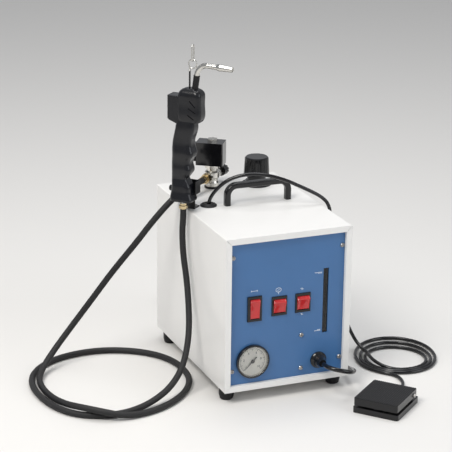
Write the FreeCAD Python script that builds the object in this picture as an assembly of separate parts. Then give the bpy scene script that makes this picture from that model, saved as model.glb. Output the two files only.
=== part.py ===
# Bench steam cleaner for jewellery: a painted steel cabinet with a boiler inside, a steam gun
# in a holder on its left edge, a steam hose, a foot pedal on a lead and a mains lead.
# Millimetres, +Z up, the front faces -Y. The origin is on the floor under the cabinet's middle.
import FreeCAD, Part
import math
import os

V = FreeCAD.Vector

# Cabinet
CASE_W = 210.0
CASE_D = 305.0
CASE_H = 250.0
FOOT_H = 20.0
COVER_T = 1.2
TRAY_T = 1.5
FOLD_R = 2.0
BORDER_W = 9.5
PANEL_RECESS = 6.0
REAR_RECESS = 3.0
PANEL_T = 2.0
TAB_W = 9.3
PANEL_GAP = 0.2
MITRE_GAP = 0.42
CORNER_SLIT = 0.3
LIP_H = 14.0
FRONT_Y = -CASE_D / 2
REAR_Y = CASE_D / 2
SIDE_X = CASE_W / 2
TOP_Z = FOOT_H + CASE_H
SHEET_Z = TOP_Z - COVER_T
PANEL_Y = FRONT_Y + PANEL_RECESS
PANEL_BACK_Y = PANEL_Y + PANEL_T
REAR_PANEL_Y = REAR_Y - REAR_RECESS

# Rear vents
VENT_COUNT = 6
VENT_L = 46.0
VENT_H = 5.0
VENT_PITCH = 16.0
VENT_X = 40.0
VENT_Z = 185.0

# Screws and feet
SCREW_R = 1.95
SCREW_L = 8.0
SCREW_HEAD_R = 3.5
SCREW_HEAD_H = 2.4
SCREW_SLOT_W = 0.9
SCREW_FIT = 0.05
SCREW_X = 91.0
SCREW_LOW_Z = 52.5
SCREW_HIGH_Z = 238.0
FOOT_X = 91.0
FOOT_Y = 125.0
FOOT_R = 12.0
FOOT_BASE_R = 10.5
FOOT_STEM_R = 3.95
FOOT_BUTTON_R = 6.0
FOOT_BUTTON_H = 2.6
FOOT_FIT = 0.15

# Carrying handle on the top
HANDLE_X0 = -39.0
HANDLE_X1 = 65.5
HANDLE_Y = 8.0
HANDLE_TOP_H = 36.5
HANDLE_T = 9.5
HANDLE_W = 12.0
HANDLE_BEND_R = 20.0
HANDLE_EDGE_R = 3.0

# Lead grommet in the top
GROMMET_X = -67.4
GROMMET_Y = 16.7
GROMMET_R = 13.5
GROMMET_H = 4.5
GROMMET_NECK_R = 9.0
GROMMET_CLIP_R = 10.5

# Boiler
TANK_X = 12.0
TANK_Y = 66.0
TANK_R = 77.0
TANK_Z0 = 50.0
TANK_Z1 = 232.0
TANK_WALL = 2.0
TANK_EDGE_R = 12.0
LEG_R = 6.0
LEG_PAD_R = 12.0
LEG_PAD_T = 2.0
LEG_CIRCLE_R = 52.0
HEATER_Z = 80.0
HEATER_BOSS_R = 16.0
HEATER_BOSS_L = 13.0
HEATER_BORE_R = 13.0
HEATER_FLANGE_T = 4.0
HEATER_TUBE_R = 4.0
HEATER_SPREAD = 8.0
HEATER_REACH = 130.0
TERMINAL_L = 16.0
TERMINAL_R = 2.0

# Filler neck, its ring and its screw cap
NECK_X = 49.9
NECK_Y = 99.7
NECK_R = 13.0
NECK_BORE_R = 10.0
NECK_TOP_H = 13.0
NECK_HOLE_GAP = 0.5
RING_R = 25.0
RING_T = 2.5
COLLAR_R0 = 20.0
COLLAR_R1 = 18.0
COLLAR_TOP_H = 7.0
COLLAR_BORE_GAP = 0.1
CAP_SKIRT_R = 15.5
CAP_SKIRT_H = 10.0
CAP_GAP = 0.5
CAP_R0 = 21.0
CAP_R1 = 19.5
CAP_TOP_H = 47.0
CAP_BEVEL = 2.0
CAP_CAVITY_GAP = 0.4
CAP_FLUTES = 24
CAP_FLUTE_R = 1.3
PLUG_FIT = 0.08
PLUG_DROP = 7.4
PLUG_FLANGE_R = 12.6
PLUG_FLANGE_T = 2.0
PLUG_LIFT_GAP = 0.2
STUD_R = 4.0
STUD_L = 17.0
STUD_FIT = 0.05

# Level gauge: sight tube behind a slot
SLOT_X0 = 60.3
SLOT_X1 = 69.5
SLOT_Z0 = 96.5
SLOT_Z1 = 203.4
WINDOW_T = 3.0
WINDOW_EDGE = 3.5
SIGHT_Y = -134.0
SIGHT_R = 5.0
SIGHT_WALL = 1.2
SIGHT_Z0 = 95.0
SIGHT_Z1 = 210.0
SIGHT_SOCKET = 7.0
FITTING_R = 7.5
FITTING_H = 16.0
FITTING_FIT = 0.05
FITTING_PIPE_R = 4.0

# Pressure gauge
GAUGE_X = -57.2
GAUGE_Z = 65.9
GAUGE_RIM_R = 27.2
GAUGE_RIM_H = 6.0
GAUGE_BODY_R = 25.6
GAUGE_BODY_L = 22.0
GAUGE_HOLE_GAP = 0.2
GAUGE_LENS_BORE_R = 24.8
GAUGE_DEEP_BORE_R = 22.0
GAUGE_BACK_T = 2.0
GAUGE_STEM_R = 5.0
GAUGE_STEM_L = 10.0
DIAL_T = 0.6
DIAL_GAP = 0.1
LENS_T = 1.5
LENS_DEPTH = 0.8
LENS_GAP = 0.05
MOVEMENT_R = 9.0
MOVEMENT_GAP = 7.5
SPINDLE_R = 0.8
SPINDLE_FIT = 0.05
POINTER_HUB_R = 3.2
POINTER_T = 0.6
POINTER_LIFT = 1.6
POINTER_L = 19.0
POINTER_TAIL = 9.0
POINTER_W = 1.6
POINTER_REST_DEG = 225.0

# Rocker switches: bezel and rocker sizes
PANEL_CUT_GAP = 0.2
SWITCH_BODY_L = 24.0
SWITCH_LUG_L = 8.0
SWITCH_LUG_W = 6.3
SWITCH_LUG_T = 0.8
SWITCH_CORNER_R = 1.5
ROCKER_SIDE_GAP = 0.3
ROCKER_END_GAP = 0.35
ROCKER_BACK = 3.0
ROCKER_BACK_ROOM = 7.0
STUB_R = 1.5
STUB_L = 1.5
STUB_FIT = 0.06

# Pressure switch behind the panel
PSWITCH_X0 = 8.0
PSWITCH_X1 = 42.0
PSWITCH_Z0 = 35.0
PSWITCH_Z1 = 105.0
PSWITCH_L = 33.0
PSWITCH_STANDOFF = 1.5
PSWITCH_BOSS_R = 3.4
PSWITCH_SCREW_X = 25.0
PSWITCH_SCREW_Z0 = 42.5
PSWITCH_SCREW_Z1 = 97.7
PSWITCH_PORT_X = 35.0
PSWITCH_PORT_Z = 90.0
PSWITCH_PORT_R = 5.0
PSWITCH_PORT_L = 5.0

# Pipes from the boiler
GAUGE_PIPE_R = 2.5
PSWITCH_PIPE_R = 3.0
PIPE_FIT = 0.05
PIPE_INSIDE = 6.0

# Mains lead gland
GLAND_X = 55.0
GLAND_Z = 52.0
GLAND_BASE_R = 13.5
GLAND_TIP_R = 6.0
GLAND_L = 18.0
GLAND_RIM_L = 4.0
GLAND_THREAD_R = 8.0
GLAND_NUT_R = 11.0
GLAND_NUT_T = 4.0
GLAND_FIT = 0.1

# Steam valve on the top
VALVE_X = -25.7
VALVE_Y = 107.0
VALVE_YAW = -34.0
OUTLET_DEG = 220.0
VALVE_BASE_R = 11.0
VALVE_WAIST_R = 9.5
VALVE_BULGE_R = 12.0
VALVE_NECK_R = 9.0
VALVE_PIPE_R = 6.95
VALVE_DUCT_R = 3.5
VALVE_PORT_H = 20.0
VALVE_FLANGE_H0 = 34.0
VALVE_FLANGE_H1 = 39.0
VALVE_TUBE_R = 6.2
VALVE_TUBE_TOP_H = 82.0
VALVE_TUBE_BORE_R = 5.0
VALVE_BOSS_R = 11.0
VALVE_BOSS_H = 8.0
GASKET_R = 12.5
GASKET_T = 3.0
OUTLET_R = 7.5
OUTLET_L = 16.0
BONNET_R = 6.5
BONNET_L = 20.0
VALVE_FIT = 0.05
COIL_X = 45.0
COIL_Y = 30.0
COIL_Z = 38.0
PIP_R = 1.2
PIP_H = 0.8
COIL_SHIFT = 2.5
COIL_FIT = 0.1
COIL_EDGE_R = 2.0
COIL_NUT_AF = 15.0
COIL_NUT_H = 4.6
VALVE_PLUG_L = 20.0
VALVE_PLUG_W = 26.0
VALVE_PLUG_SCREW_R = 2.2
PLUNGER_FIT = 0.1
PLUNGER_L = 30.0
KNOB_STEM_R = 3.0
KNOB_STEM_FIT = 0.05
KNOB_R = 8.5
KNOB_L = 13.0
KNOB_T0 = 30.0
KNOB_FLUTES = 10
HEX_AF = 15.0
HEX_L = 9.0
FERRULE_R = 6.0
FERRULE_L = 9.0
FERRULE_BORE_R = 3.0

# Steam gun: a pistol-shaped grip standing in its holder
GUN_AT = (-115.0, 3.9, 289.0)
GUN_YAW = -47.0
GUN_WALL = 2.8
GUN_FLOOR = 8.0
GUN_SHAPE = 0.85
GUN_CORNER = 0.55
HEAD_TOP = 181.8
SPUR_X0 = -23.0
SPUR_X1 = -5.0
SPUR_Z0 = 133.0
SPUR_Z1 = 169.0
SPUR_W = 24.0
GUN_VENT_W = 1.6
GUN_VENT_DEPTH = 1.6
LANCE_R = 4.2
LANCE_FIT = 0.02
SLEEVE_R = 4.95
SLEEVE_L = 22.0
NOZZLE_R = 5.6
NOZZLE_TIP_R = 4.1
NOZZLE_L = 26.5
NOZZLE_SOCKET = 3.0
NOZZLE_BORE_R = 2.0
ROD_R = 1.4
ROD_X = 10.1
ROD_TOP = 214.5
ROD_SUNK = 6.0
HANG_RING_R = 6.9
HANG_WIRE_R = 0.95
HANG_RING_X = 15.2
HANG_RING_Z = 219.5
BEAD_R = 1.9
HOOK_WIRE_R = 1.1
HOOK_BEND_R = 3.5
HOOK_L = 18.5
HOOK_GAP = 0.3
HOSE_NUT_R = 7.0
HOSE_NUT_Z0 = -14.5
HOSE_NUT_Z1 = -5.6
NUT_FLATS = 6

# Holder for the steam gun
HOLDER_T = 1.5
HOLDER_Y = 16.4
HOLDER_HALF_W = 12.0
HOLDER_TOP = 30.0
HOLDER_FOOT_L = 18.0
HOLDER_EDGE_GAP = 1.5
SHELF_HALF_W = 14.0
SHELF_REACH = 12.0
SHELF_SLOT_R = 4.6
ARM_X = 19.4
ARM_Y0 = 2.0
ARM_Z0 = 10.0
HOLDER_SCREW_Y = 29.0
HOLDER_SCREW_X = 7.0
THUMB_Z = 14.0
THUMB_Y = 8.0
THUMB_R = 4.6
THUMB_L = 6.5
THUMB_SHANK_R = 1.9
THUMB_SHANK_L = 1.7
THUMB_FIT = 0.05

# Foot pedal
PEDAL_AT = (127.0, -243.5, 0.0)
PEDAL_YAW = 41.0
PEDAL_BASE_L = 86.0
PEDAL_BASE_W = 75.0
PEDAL_BASE_H = 9.0
PEDAL_CORNER_R = 4.0
PLATE_L = 81.0
PLATE_W = 72.0
PLATE_TOP = 24.2
PLATE_BOTTOM = 13.0
PLATE_T = 3.0
PLATE_SKIRT_T = 2.5
RIB_COUNT = 21
RIB_H = 0.8
RIB_SHARE = 0.5
PIN_X = 25.0
PIN_Z = 17.0
PIN_R = 1.5
PIN_FIT = 0.05
PIN_HEAD_R = 3.0
PIN_HEAD_T = 1.8
LUG_W = 4.0
LUG_L = 7.6
LUG_GAP = 0.6
SPRING_X = -12.0
SPRING_R = 5.5
SPRING_WIRE_R = 0.6
SPRING_TURNS = 5
SPRING_END_GAP = 0.1
MICRO_X = -29.3
MICRO_L = 20.0
MICRO_W = 8.0
MICRO_H = 7.7
MICRO_BUTTON_R = 1.5
MICRO_BUTTON_H = 1.6
PEDAL_LEAD_Z = 5.0
PEDAL_LEAD_IN = 6.0

# Steam hose, from the valve down to the floor, twice round and up to the gun
HOSE_R = 5.0
HOSE_POINTS = (
    (-66.0, 73.1, 290.0), (-92.0, 53.0, 291.0), (-122.0, 37.0, 280.0), (-152.0, 41.0, 247.0),
    (-177.0, 52.0, 209.0), (-210.0, 70.0, 160.0), (-241.0, 84.0, 111.0), (-273.0, 91.0, 67.0),
    (-303.0, 85.0, 35.0), (-331.0, 64.0, 14.0), (-348.0, 34.0, 6.0), (-352.0, -4.0, 5.2),
    (-348.0, -44.0, 6.0), (-340.0, -82.0, 11.0), (-328.0, -112.0, 16.5), (-302.0, -139.0, 16.5),
    (-270.0, -149.0, 8.0), (-236.0, -147.0, 5.2), (-202.0, -136.0, 5.2), (-170.0, -115.0, 5.2),
    (-142.0, -86.0, 5.2), (-122.0, -48.0, 5.2), (-116.0, -6.0, 5.2), (-121.0, 38.0, 5.2),
    (-143.0, 77.0, 5.2), (-180.0, 105.0, 5.2), (-222.0, 119.0, 5.2), (-264.0, 118.0, 5.2),
    (-301.0, 106.0, 5.2), (-333.0, 82.0, 5.2), (-355.0, 50.0, 5.2), (-365.0, 10.0, 5.2),
    (-364.0, -34.0, 5.2), (-355.0, -76.0, 5.2), (-335.0, -111.0, 5.2), (-303.0, -131.0, 5.2),
    (-268.0, -135.0, 5.2), (-236.0, -128.0, 6.0), (-205.0, -118.0, 12.0), (-176.0, -106.0, 24.0),
    (-153.0, -91.0, 43.0), (-138.0, -75.0, 68.0), (-127.0, -56.0, 97.0), (-121.0, -37.0, 130.0),
    (-118.0, -20.0, 165.0), (-119.0, -7.0, 201.0), (-118.0, 1.0, 236.0), (-115.0, 3.9, 261.0),
)

# Pedal lead: over the top, down the right side, a loose coil and on to the pedal
PEDAL_LEAD_R = 2.9
PEDAL_LEAD_TOP = (
    (-67.0, 16.5, 277.0), (-62.5, 14.4, 288.0), (-54.0, 10.5, 300.0), (-41.5, 5.4, 312.0),
    (-22.4, -3.0, 321.0), (0.0, -11.4, 323.5), (22.6, -19.2, 320.5), (46.0, -26.0, 313.0),
    (69.5, -31.8, 301.5), (88.0, -35.6, 292.0), (102.5, -38.0, 283.5), (113.5, -39.2, 273.5),
    (119.5, -39.0, 260.0), (121.0, -37.0, 244.0), (122.0, -32.0, 220.0), (128.0, -21.0, 182.0),
    (144.0, -6.5, 132.0), (160.5, 2.5, 88.0), (170.5, 2.0, 58.0), (176.5, -7.0, 36.0),
    (180.8, -22.0, 20.5), (184.2, -38.0, 12.6),
)
PEDAL_COIL_AT = (229.0, -80.5)
PEDAL_COIL_YAW = -22.2
PEDAL_COIL_R = 45.0
PEDAL_COIL_GROW = 6.5
PEDAL_COIL_FAN = 14.0
PEDAL_COIL_FROM_DEG = 15.0
PEDAL_COIL_TURNS = 3.14
PEDAL_COIL_DROP_DEG = 75.0
PEDAL_COIL_HIGH_Z = 9.6
PEDAL_LEAD_FLOOR = (
    (196.0, -149.0, 3.0), (195.7, -163.5, 3.0), (190.5, -178.5, 3.0), (182.0, -192.5, 3.4),
    (172.5, -204.0, 4.4),
)

# Mains lead: round the front corner, along the right side and into a tied coil behind
MAINS_R = 3.6
MAINS_POINTS = (
    (55.0, -174.0, 52.2), (57.0, -183.6, 52.2), (62.6, -191.3, 51.6), (70.9, -196.1, 50.0),
    (80.4, -197.1, 47.4), (89.5, -194.1, 44.2), (96.8, -187.2, 40.6), (103.5, -177.0, 36.4),
    (110.0, -164.0, 31.5), (115.5, -147.0, 26.0), (119.6, -125.0, 19.5), (121.6, -97.0, 12.8),
    (120.5, -60.0, 7.4), (122.5, -14.0, 4.2), (119.5, 42.0, 3.7), (121.5, 98.0, 3.7),
    (120.3, 152.0, 3.8), (121.6, 186.0, 4.3),
)
MAINS_COIL_AT = (70.0, 232.0)
MAINS_COIL_R = 51.0
MAINS_COIL_STEP = 7.8
MAINS_COIL_TURNS = 5.25
MAINS_COIL_Z = 5.3
PLUG_AT = (27.0, 285.0, 19.2)
PLUG_LEAD = ((47.0, 283.9, 14.8), (37.5, 284.6, 17.4))
PLUG_RELIEF_L = 22.0
PLUG_RELIEF_R = 8.0
PLUG_BODY_R = 19.0
PLUG_BODY_L = 30.0
PLUG_FACE_R = 17.5
PRONG_R = 2.4
PRONG_L = 19.0
PRONG_PITCH = 19.0
TIE_T = 1.2
TIE_W = 12.0
TIE_GAP = 0.4
TIE_DEG = 200.0


def box(x0, x1, y0, y1, z0, z1):
    """A block between two values on each axis."""
    return Part.makeBox(x1 - x0, y1 - y0, z1 - z0, V(x0, y0, z0))


def rod(radius, start, end):
    """A round bar from one point to another."""
    a = V(*start)
    axis = V(*end) - a
    return Part.makeCylinder(radius, axis.Length, a, axis)


def along_y(radius, x, z, y0, y1):
    """A round bar that runs front to back."""
    return rod(radius, (x, y0, z), (x, y1, z))


def turned(profile, base=(0, 0, 0), axis=(0, 0, 1)):
    """A turned piece: profile lists (radius, distance along the axis) round its half section."""
    points = [V(radius, 0, height) for radius, height in profile]
    face = Part.Face(Part.makePolygon(points + points[:1]))
    solid = face.revolve(V(0, 0, 0), V(0, 0, 1), 360)
    solid.Placement = FreeCAD.Placement(V(*base), FreeCAD.Rotation(V(0, 0, 1), V(*axis)))
    return solid


def prism(points, push):
    """A flat outline pushed along a vector."""
    corners = [V(*point) for point in points]
    return Part.Face(Part.makePolygon(corners + corners[:1])).extrude(V(*push))


def fuse(first, *others):
    """One solid from several that touch or overlap, without leftover seams."""
    return first.multiFuse(list(others)).removeSplitter()


def placed(shape, at, yaw):
    """A copy turned about Z by yaw degrees and then moved to a point."""
    copy = shape.copy()
    copy.Placement = FreeCAD.Placement(V(*at), FreeCAD.Rotation(V(0, 0, 1), yaw)).multiply(copy.Placement)
    return copy


def place_point(point, at, yaw):
    """The same turn and move for one point."""
    return FreeCAD.Placement(V(*at), FreeCAD.Rotation(V(0, 0, 1), yaw)).multVec(V(*point))


def upright_edges(shape):
    """The straight edges of a shape that run along Z."""
    found = []
    for edge in shape.Edges:
        ends = [vertex.Point for vertex in edge.Vertexes]
        if len(ends) == 2 and abs(ends[0].x - ends[1].x) + abs(ends[0].y - ends[1].y) < 1e-6:
            found.append(edge)
    return found


def rounded_block(x0, x1, y0, y1, z0, z1, radius):
    """A block with its four upright edges rounded."""
    block = box(x0, x1, y0, y1, z0, z1)
    return block.makeFillet(radius, upright_edges(block))


def hexagon(across_flats, start, end):
    """A six-sided bar."""
    a = V(*start)
    axis = V(*end) - a
    corner = across_flats / math.sqrt(3)
    ring = [(corner * math.cos(math.pi / 3 * k), corner * math.sin(math.pi / 3 * k), 0) for k in range(6)]
    bar = prism(ring, (0, 0, axis.Length))
    bar.Placement = FreeCAD.Placement(a, FreeCAD.Rotation(V(0, 0, 1), axis))
    return bar


def ball(radius, at):
    """A ball."""
    return Part.makeSphere(radius, V(*at))


# Tubes: straight runs joined by tangent arcs, and coils made of biarcs


def swept(edges, radius):
    """A round tube along a chain of edges."""
    path = Part.Wire(edges)
    start = path.Edges[0].Vertexes[0].Point
    ahead = path.Edges[0].tangentAt(path.Edges[0].FirstParameter)
    section = Part.Wire([Part.Circle(start, ahead, radius).toShape()])
    shell = Part.BRepOffsetAPI.MakePipeShell(path)
    shell.add(section)
    shell.build()
    shell.makeSolid()
    return shell.shape()


def route_edges(points):
    """Runs between points, each corner replaced by the largest arc that 0.45 of a run allows."""
    spots = [V(*point) for point in points]
    edges = []
    radii = []
    at = spots[0]
    for before, corner, after in zip(spots, spots[1:], spots[2:]):
        into = (corner - before).normalize()
        out = (after - corner).normalize()
        half_turn = into.getAngle(out) / 2
        reach = 0.45 * min((corner - before).Length, (after - corner).Length)
        radius = reach / math.tan(half_turn)
        inward = (out - into).normalize()
        middle = corner + inward * (radius / math.cos(half_turn) - radius)
        arc_start = corner - into * reach
        arc_end = corner + out * reach
        edges.append(Part.LineSegment(at, arc_start).toShape())
        edges.append(Part.Arc(arc_start, middle, arc_end).toShape())
        radii.append(radius)
        at = arc_end
    edges.append(Part.LineSegment(at, spots[-1]).toShape())
    return edges, radii


def tube(label, points, radius):
    """A cord's tube along a route, with its tightest bend and its volume check printed."""
    edges, radii = route_edges(points)
    solid = swept(edges, radius)
    length = sum(edge.Length for edge in edges)
    share = solid.Volume / (math.pi * radius ** 2 * length)
    print(f"{label}: length {length:.0f}, tightest radius {min(radii):.1f}, volume share {share:.4f}")
    return solid


def arc_from(start, tangent, end):
    """The circular arc that leaves start along tangent and reaches end."""
    chord = end - start
    along = V(chord).normalize()
    side = tangent - along * tangent.dot(along)
    if side.Length < 1e-9:
        return Part.LineSegment(start, end).toShape()
    angle = tangent.getAngle(chord)
    middle = start + chord * 0.5 + side.normalize() * (chord.Length / 2 * math.tan(angle / 2))
    return Part.Arc(start, middle, end).toShape()


def biarc(p0, t0, p1, t1):
    """Two tangent arcs that join two points with given directions."""
    v = p1 - p0
    t = t0 + t1
    spread = 2 * (1 - t0.dot(t1))
    reach = (math.sqrt(v.dot(t) ** 2 + spread * v.dot(v)) - v.dot(t)) / spread
    near = p0 + t0 * reach
    far = p1 - t1 * reach
    joint = (near + far) * 0.5
    return [arc_from(p0, t0, joint), arc_from(joint, (far - near).normalize(), p1)]


def direction(curve, at):
    """The unit direction of a curve given as a function of one value."""
    return (curve(at + 1e-4) - curve(at - 1e-4)).normalize()


def wound_tube(label, curve, last, radius):
    """One unbroken tube along curve(0..last), in quarter turns of biarcs, with straight ends."""
    steps = math.ceil(last / (math.pi / 2))
    values = [last * k / steps for k in range(steps + 1)]
    spots = [curve(value) for value in values]
    ways = [direction(curve, value) for value in values]
    head = Part.LineSegment(spots[0] - ways[0] * 2 * radius, spots[0]).toShape()
    tail = Part.LineSegment(spots[-1], spots[-1] + ways[-1] * 2 * radius).toShape()
    edges = [head]
    for k in range(steps):
        edges += biarc(spots[k], ways[k], spots[k + 1], ways[k + 1])
    edges.append(tail)
    solid = swept(edges, radius)
    length = sum(edge.Length for edge in edges)
    share = solid.Volume / (math.pi * radius ** 2 * length)
    gap = self_gap(curve, last, radius)
    print(f"{label}: length {length:.0f}, volume share {share:.4f}, least gap to itself {gap:.2f}")
    return solid


def self_gap(curve, last, radius):
    """The least gap between turns: points at least a third of a turn apart, less a diameter."""
    count = int(last * 12)
    points = [curve(last * k / count) for k in range(count + 1)]
    skip = int(count * (2 * math.pi / 3) / last)
    least = 1e9
    for k, point in enumerate(points):
        for other in points[k + skip:]:
            least = min(least, (point - other).Length)
    return least - 2 * radius


def ends_of(curve, last, radius):
    """Where a wound tube's straight ends stop: its first and last point."""
    first = curve(0) - direction(curve, 0) * 2 * radius
    final = curve(last) + direction(curve, last) * 2 * radius
    return first, final


def save(name, *shapes):
    """Write one node; it may hold several separate solids."""
    solids = [solid for shape in shapes for solid in shape.Solids]
    whole = Part.makeCompound(solids)
    state = "" if whole.isValid() and solids else "  NOT VALID"
    low = whole.BoundBox.ZMin
    print(f"{name}: {len(solids)} solid(s), volume {whole.Volume:.0f}, lowest {low:.2f}{state}")
    whole.exportStep("parts/" + name + ".step")


# Cabinet: tray, cover, end frames and panels


def ring(outer, inner, y0, y1):
    """The cabinet's outline inset by outer, with its middle cut away from inner inwards."""
    plate = box(outer - SIDE_X, SIDE_X - outer, y0, y1, FOOT_H + outer, TOP_Z - outer)
    hole = box(inner - SIDE_X, SIDE_X - inner, y0 - 1, y1 + 1, FOOT_H + inner, TOP_Z - inner)
    return plate.cut(hole)


def end_frame(face, inward, recess):
    """The folded frame round one end: border, lip beside the panel, tab behind the panel."""
    back = face + inward * (recess + PANEL_T)
    border = ring(0, BORDER_W, *sorted((face, face + inward * COVER_T)))
    lip = ring(BORDER_W - COVER_T, BORDER_W, *sorted((face, back + inward * COVER_T)))
    tab = ring(BORDER_W - COVER_T, BORDER_W + TAB_W, *sorted((back, back + inward * COVER_T)))
    return fuse(border, lip, tab)


def both_frames():
    """The front and the rear frame together."""
    front = end_frame(FRONT_Y, 1, PANEL_RECESS)
    rear = end_frame(REAR_Y, -1, REAR_RECESS)
    return Part.makeCompound([front, rear])


def folded_block(inset, reach, drop):
    """The cabinet's block inset on its sides and top, with its two long top folds rounded."""
    half = SIDE_X - inset
    block = box(-half, half, FRONT_Y - reach, REAR_Y + reach, FOOT_H - drop, TOP_Z - inset)
    folds = []
    for edge in block.Edges:
        middle = edge.CenterOfMass
        if abs(middle.y) < 1 and middle.z > TOP_Z - inset - 1:
            folds.append(edge)
    return block.makeFillet(FOLD_R - inset, folds)


def tray_wedge(gap):
    """The region of the end frames that belongs to the tray, up to the 45 degree corner joints."""
    inner = BORDER_W + TAB_W + 1
    outline = (
        (-SIDE_X - 2, FRONT_Y - 1, FOOT_H - 3), (SIDE_X + 2, FRONT_Y - 1, FOOT_H - 3),
        (SIDE_X + 2, FRONT_Y - 1, FOOT_H - 2 + gap), (SIDE_X - inner, FRONT_Y - 1, FOOT_H + inner + gap),
        (inner - SIDE_X, FRONT_Y - 1, FOOT_H + inner + gap), (-SIDE_X - 2, FRONT_Y - 1, FOOT_H - 2 + gap),
    )
    return prism(outline, (0, CASE_D + 2, 0))


def corner_slits():
    """Thin saw cuts across the upper corners of the front border, where its folds meet."""
    cuts = []
    reach = BORDER_W - COVER_T * 1.4
    for side in (-1, 1):
        x0 = side * (SIDE_X - COVER_T)
        z0 = SHEET_Z
        x1 = x0 - side * reach
        z1 = z0 - reach
        w = CORNER_SLIT / 2
        outline = (
            (x0 + w, FRONT_Y - 1, z0 - side * w), (x0 - w, FRONT_Y - 1, z0 + side * w),
            (x1 - w, FRONT_Y - 1, z1 + side * w), (x1 + w, FRONT_Y - 1, z1 - side * w),
        )
        cuts.append(prism(outline, (0, 1 + COVER_T, 0)))
    return cuts


def panel_screws():
    """The places of the screws through the panels: (x, z, y of the face, which way the head looks)."""
    spots = []
    for x in (-SCREW_X, SCREW_X):
        for z in (SCREW_LOW_Z, SCREW_HIGH_Z):
            spots.append((x, z, PANEL_Y, -1))
            spots.append((x, z, REAR_PANEL_Y, 1))
    for z in (PSWITCH_SCREW_Z0, PSWITCH_SCREW_Z1):
        spots.append((PSWITCH_SCREW_X, z, PANEL_Y, -1))
    return spots


def panel_screw_holes():
    """One clearance hole for each panel screw."""
    holes = []
    for x, z, y, way in panel_screws():
        y0, y1 = sorted((y + way, y - way * (SCREW_L + 1)))
        holes.append(along_y(SCREW_R + SCREW_FIT, x, z, y0, y1))
    return holes


def handle_screw_spots():
    """The two screws that come up into the carrying handle's legs."""
    return [(HANDLE_X0, HANDLE_Y), (HANDLE_X1, HANDLE_Y)]


def holder_screw_spots():
    """The two screws through the gun holder's foot."""
    spots = []
    for x in (-HOLDER_SCREW_X, HOLDER_SCREW_X):
        spots.append(place_point((x, HOLDER_SCREW_Y, TOP_Z - GUN_AT[2]), GUN_AT, GUN_YAW))
    return spots


def cabinet_top_holes():
    """Everything that passes through the top sheet."""
    low = SHEET_Z - 1
    high = TOP_Z + 1
    holes = [rod(GROMMET_NECK_R, (GROMMET_X, GROMMET_Y, low), (GROMMET_X, GROMMET_Y, high))]
    holes.append(rod(NECK_R + NECK_HOLE_GAP, (NECK_X, NECK_Y, low), (NECK_X, NECK_Y, high)))
    pipe = VALVE_PIPE_R + VALVE_FIT
    holes.append(rod(pipe, (VALVE_X, VALVE_Y, low), (VALVE_X, VALVE_Y, high)))
    hole_r = SCREW_R + SCREW_FIT
    for x, y in handle_screw_spots():
        holes.append(rod(hole_r, (x, y, low), (x, y, high)))
    for spot in holder_screw_spots():
        holes.append(rod(hole_r, (spot.x, spot.y, low), (spot.x, spot.y, high)))
    return holes


def case_cover():
    """Top and sides in one folded sheet, with the upper three sides of both end frames."""
    shell = folded_block(0, 0, 0).cut(folded_block(COVER_T, 1, 1))
    frames = both_frames().common(folded_block(0, 1, 1))
    cover = fuse(shell, *frames.Solids)
    return cover.cut([tray_wedge(MITRE_GAP), *corner_slits(), *cabinet_top_holes(), *panel_screw_holes()])


def base_tray():
    """The bottom plate with low side lips and the bottom side of both end frames."""
    half = SIDE_X - COVER_T - PANEL_GAP
    plate = box(-half, half, FRONT_Y, REAR_Y, FOOT_H, FOOT_H + TRAY_T)
    front_back = PANEL_BACK_Y + COVER_T + 1
    rear_back = REAR_PANEL_Y - PANEL_T - COVER_T - 1
    lips = []
    for x in (-half, half - TRAY_T):
        lips.append(box(x, x + TRAY_T, front_back, rear_back, FOOT_H, FOOT_H + LIP_H))
    frames = both_frames().common(tray_wedge(0))
    tray = fuse(plate, *lips, *frames.Solids)
    stems = []
    for x, y in foot_spots():
        stems.append(rod(FOOT_STEM_R + FOOT_FIT, (x, y, FOOT_H - 1), (x, y, FOOT_H + TRAY_T + 1)))
    return tray.cut(stems)


def panel_plate(y0, y1):
    """A flat panel that sits inside an end frame."""
    half = SIDE_X - BORDER_W - PANEL_GAP
    edge = BORDER_W + PANEL_GAP
    return box(-half, half, y0, y1, FOOT_H + edge, TOP_Z - edge)


def front_panel():
    """The front panel with its openings for the switches, the level slot, gauge and gland."""
    panel = panel_plate(PANEL_Y, PANEL_BACK_Y)
    y0 = PANEL_Y - 1
    y1 = PANEL_BACK_Y + 1
    cuts = [box(SLOT_X0, SLOT_X1, y0, y1, SLOT_Z0, SLOT_Z1)]
    cuts.append(along_y(GAUGE_BODY_R + GAUGE_HOLE_GAP, GAUGE_X, GAUGE_Z, y0, y1))
    cuts.append(along_y(GLAND_THREAD_R + GLAND_FIT, GLAND_X, GLAND_Z, y0, y1))
    for switch in SWITCHES.values():
        half_w = switch["body_w"] / 2 + PANEL_CUT_GAP
        half_h = switch["body_h"] / 2 + PANEL_CUT_GAP
        cuts.append(box(switch["x"] - half_w, switch["x"] + half_w, y0, y1,
                        switch["z"] - half_h, switch["z"] + half_h))
    return panel.cut([*cuts, *panel_screw_holes()])


def rear_panel():
    """The rear panel with two columns of vent slots."""
    panel = panel_plate(REAR_PANEL_Y - PANEL_T, REAR_PANEL_Y)
    cuts = []
    for column in (-VENT_X, VENT_X):
        for row in range(VENT_COUNT):
            z = VENT_Z - row * VENT_PITCH
            slot = box(column - VENT_L / 2, column + VENT_L / 2, REAR_PANEL_Y - PANEL_T - 1,
                       REAR_PANEL_Y + 1, z - VENT_H / 2, z + VENT_H / 2)
            cuts.append(slot)
    return panel.cut([*cuts, *panel_screw_holes()])


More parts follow.
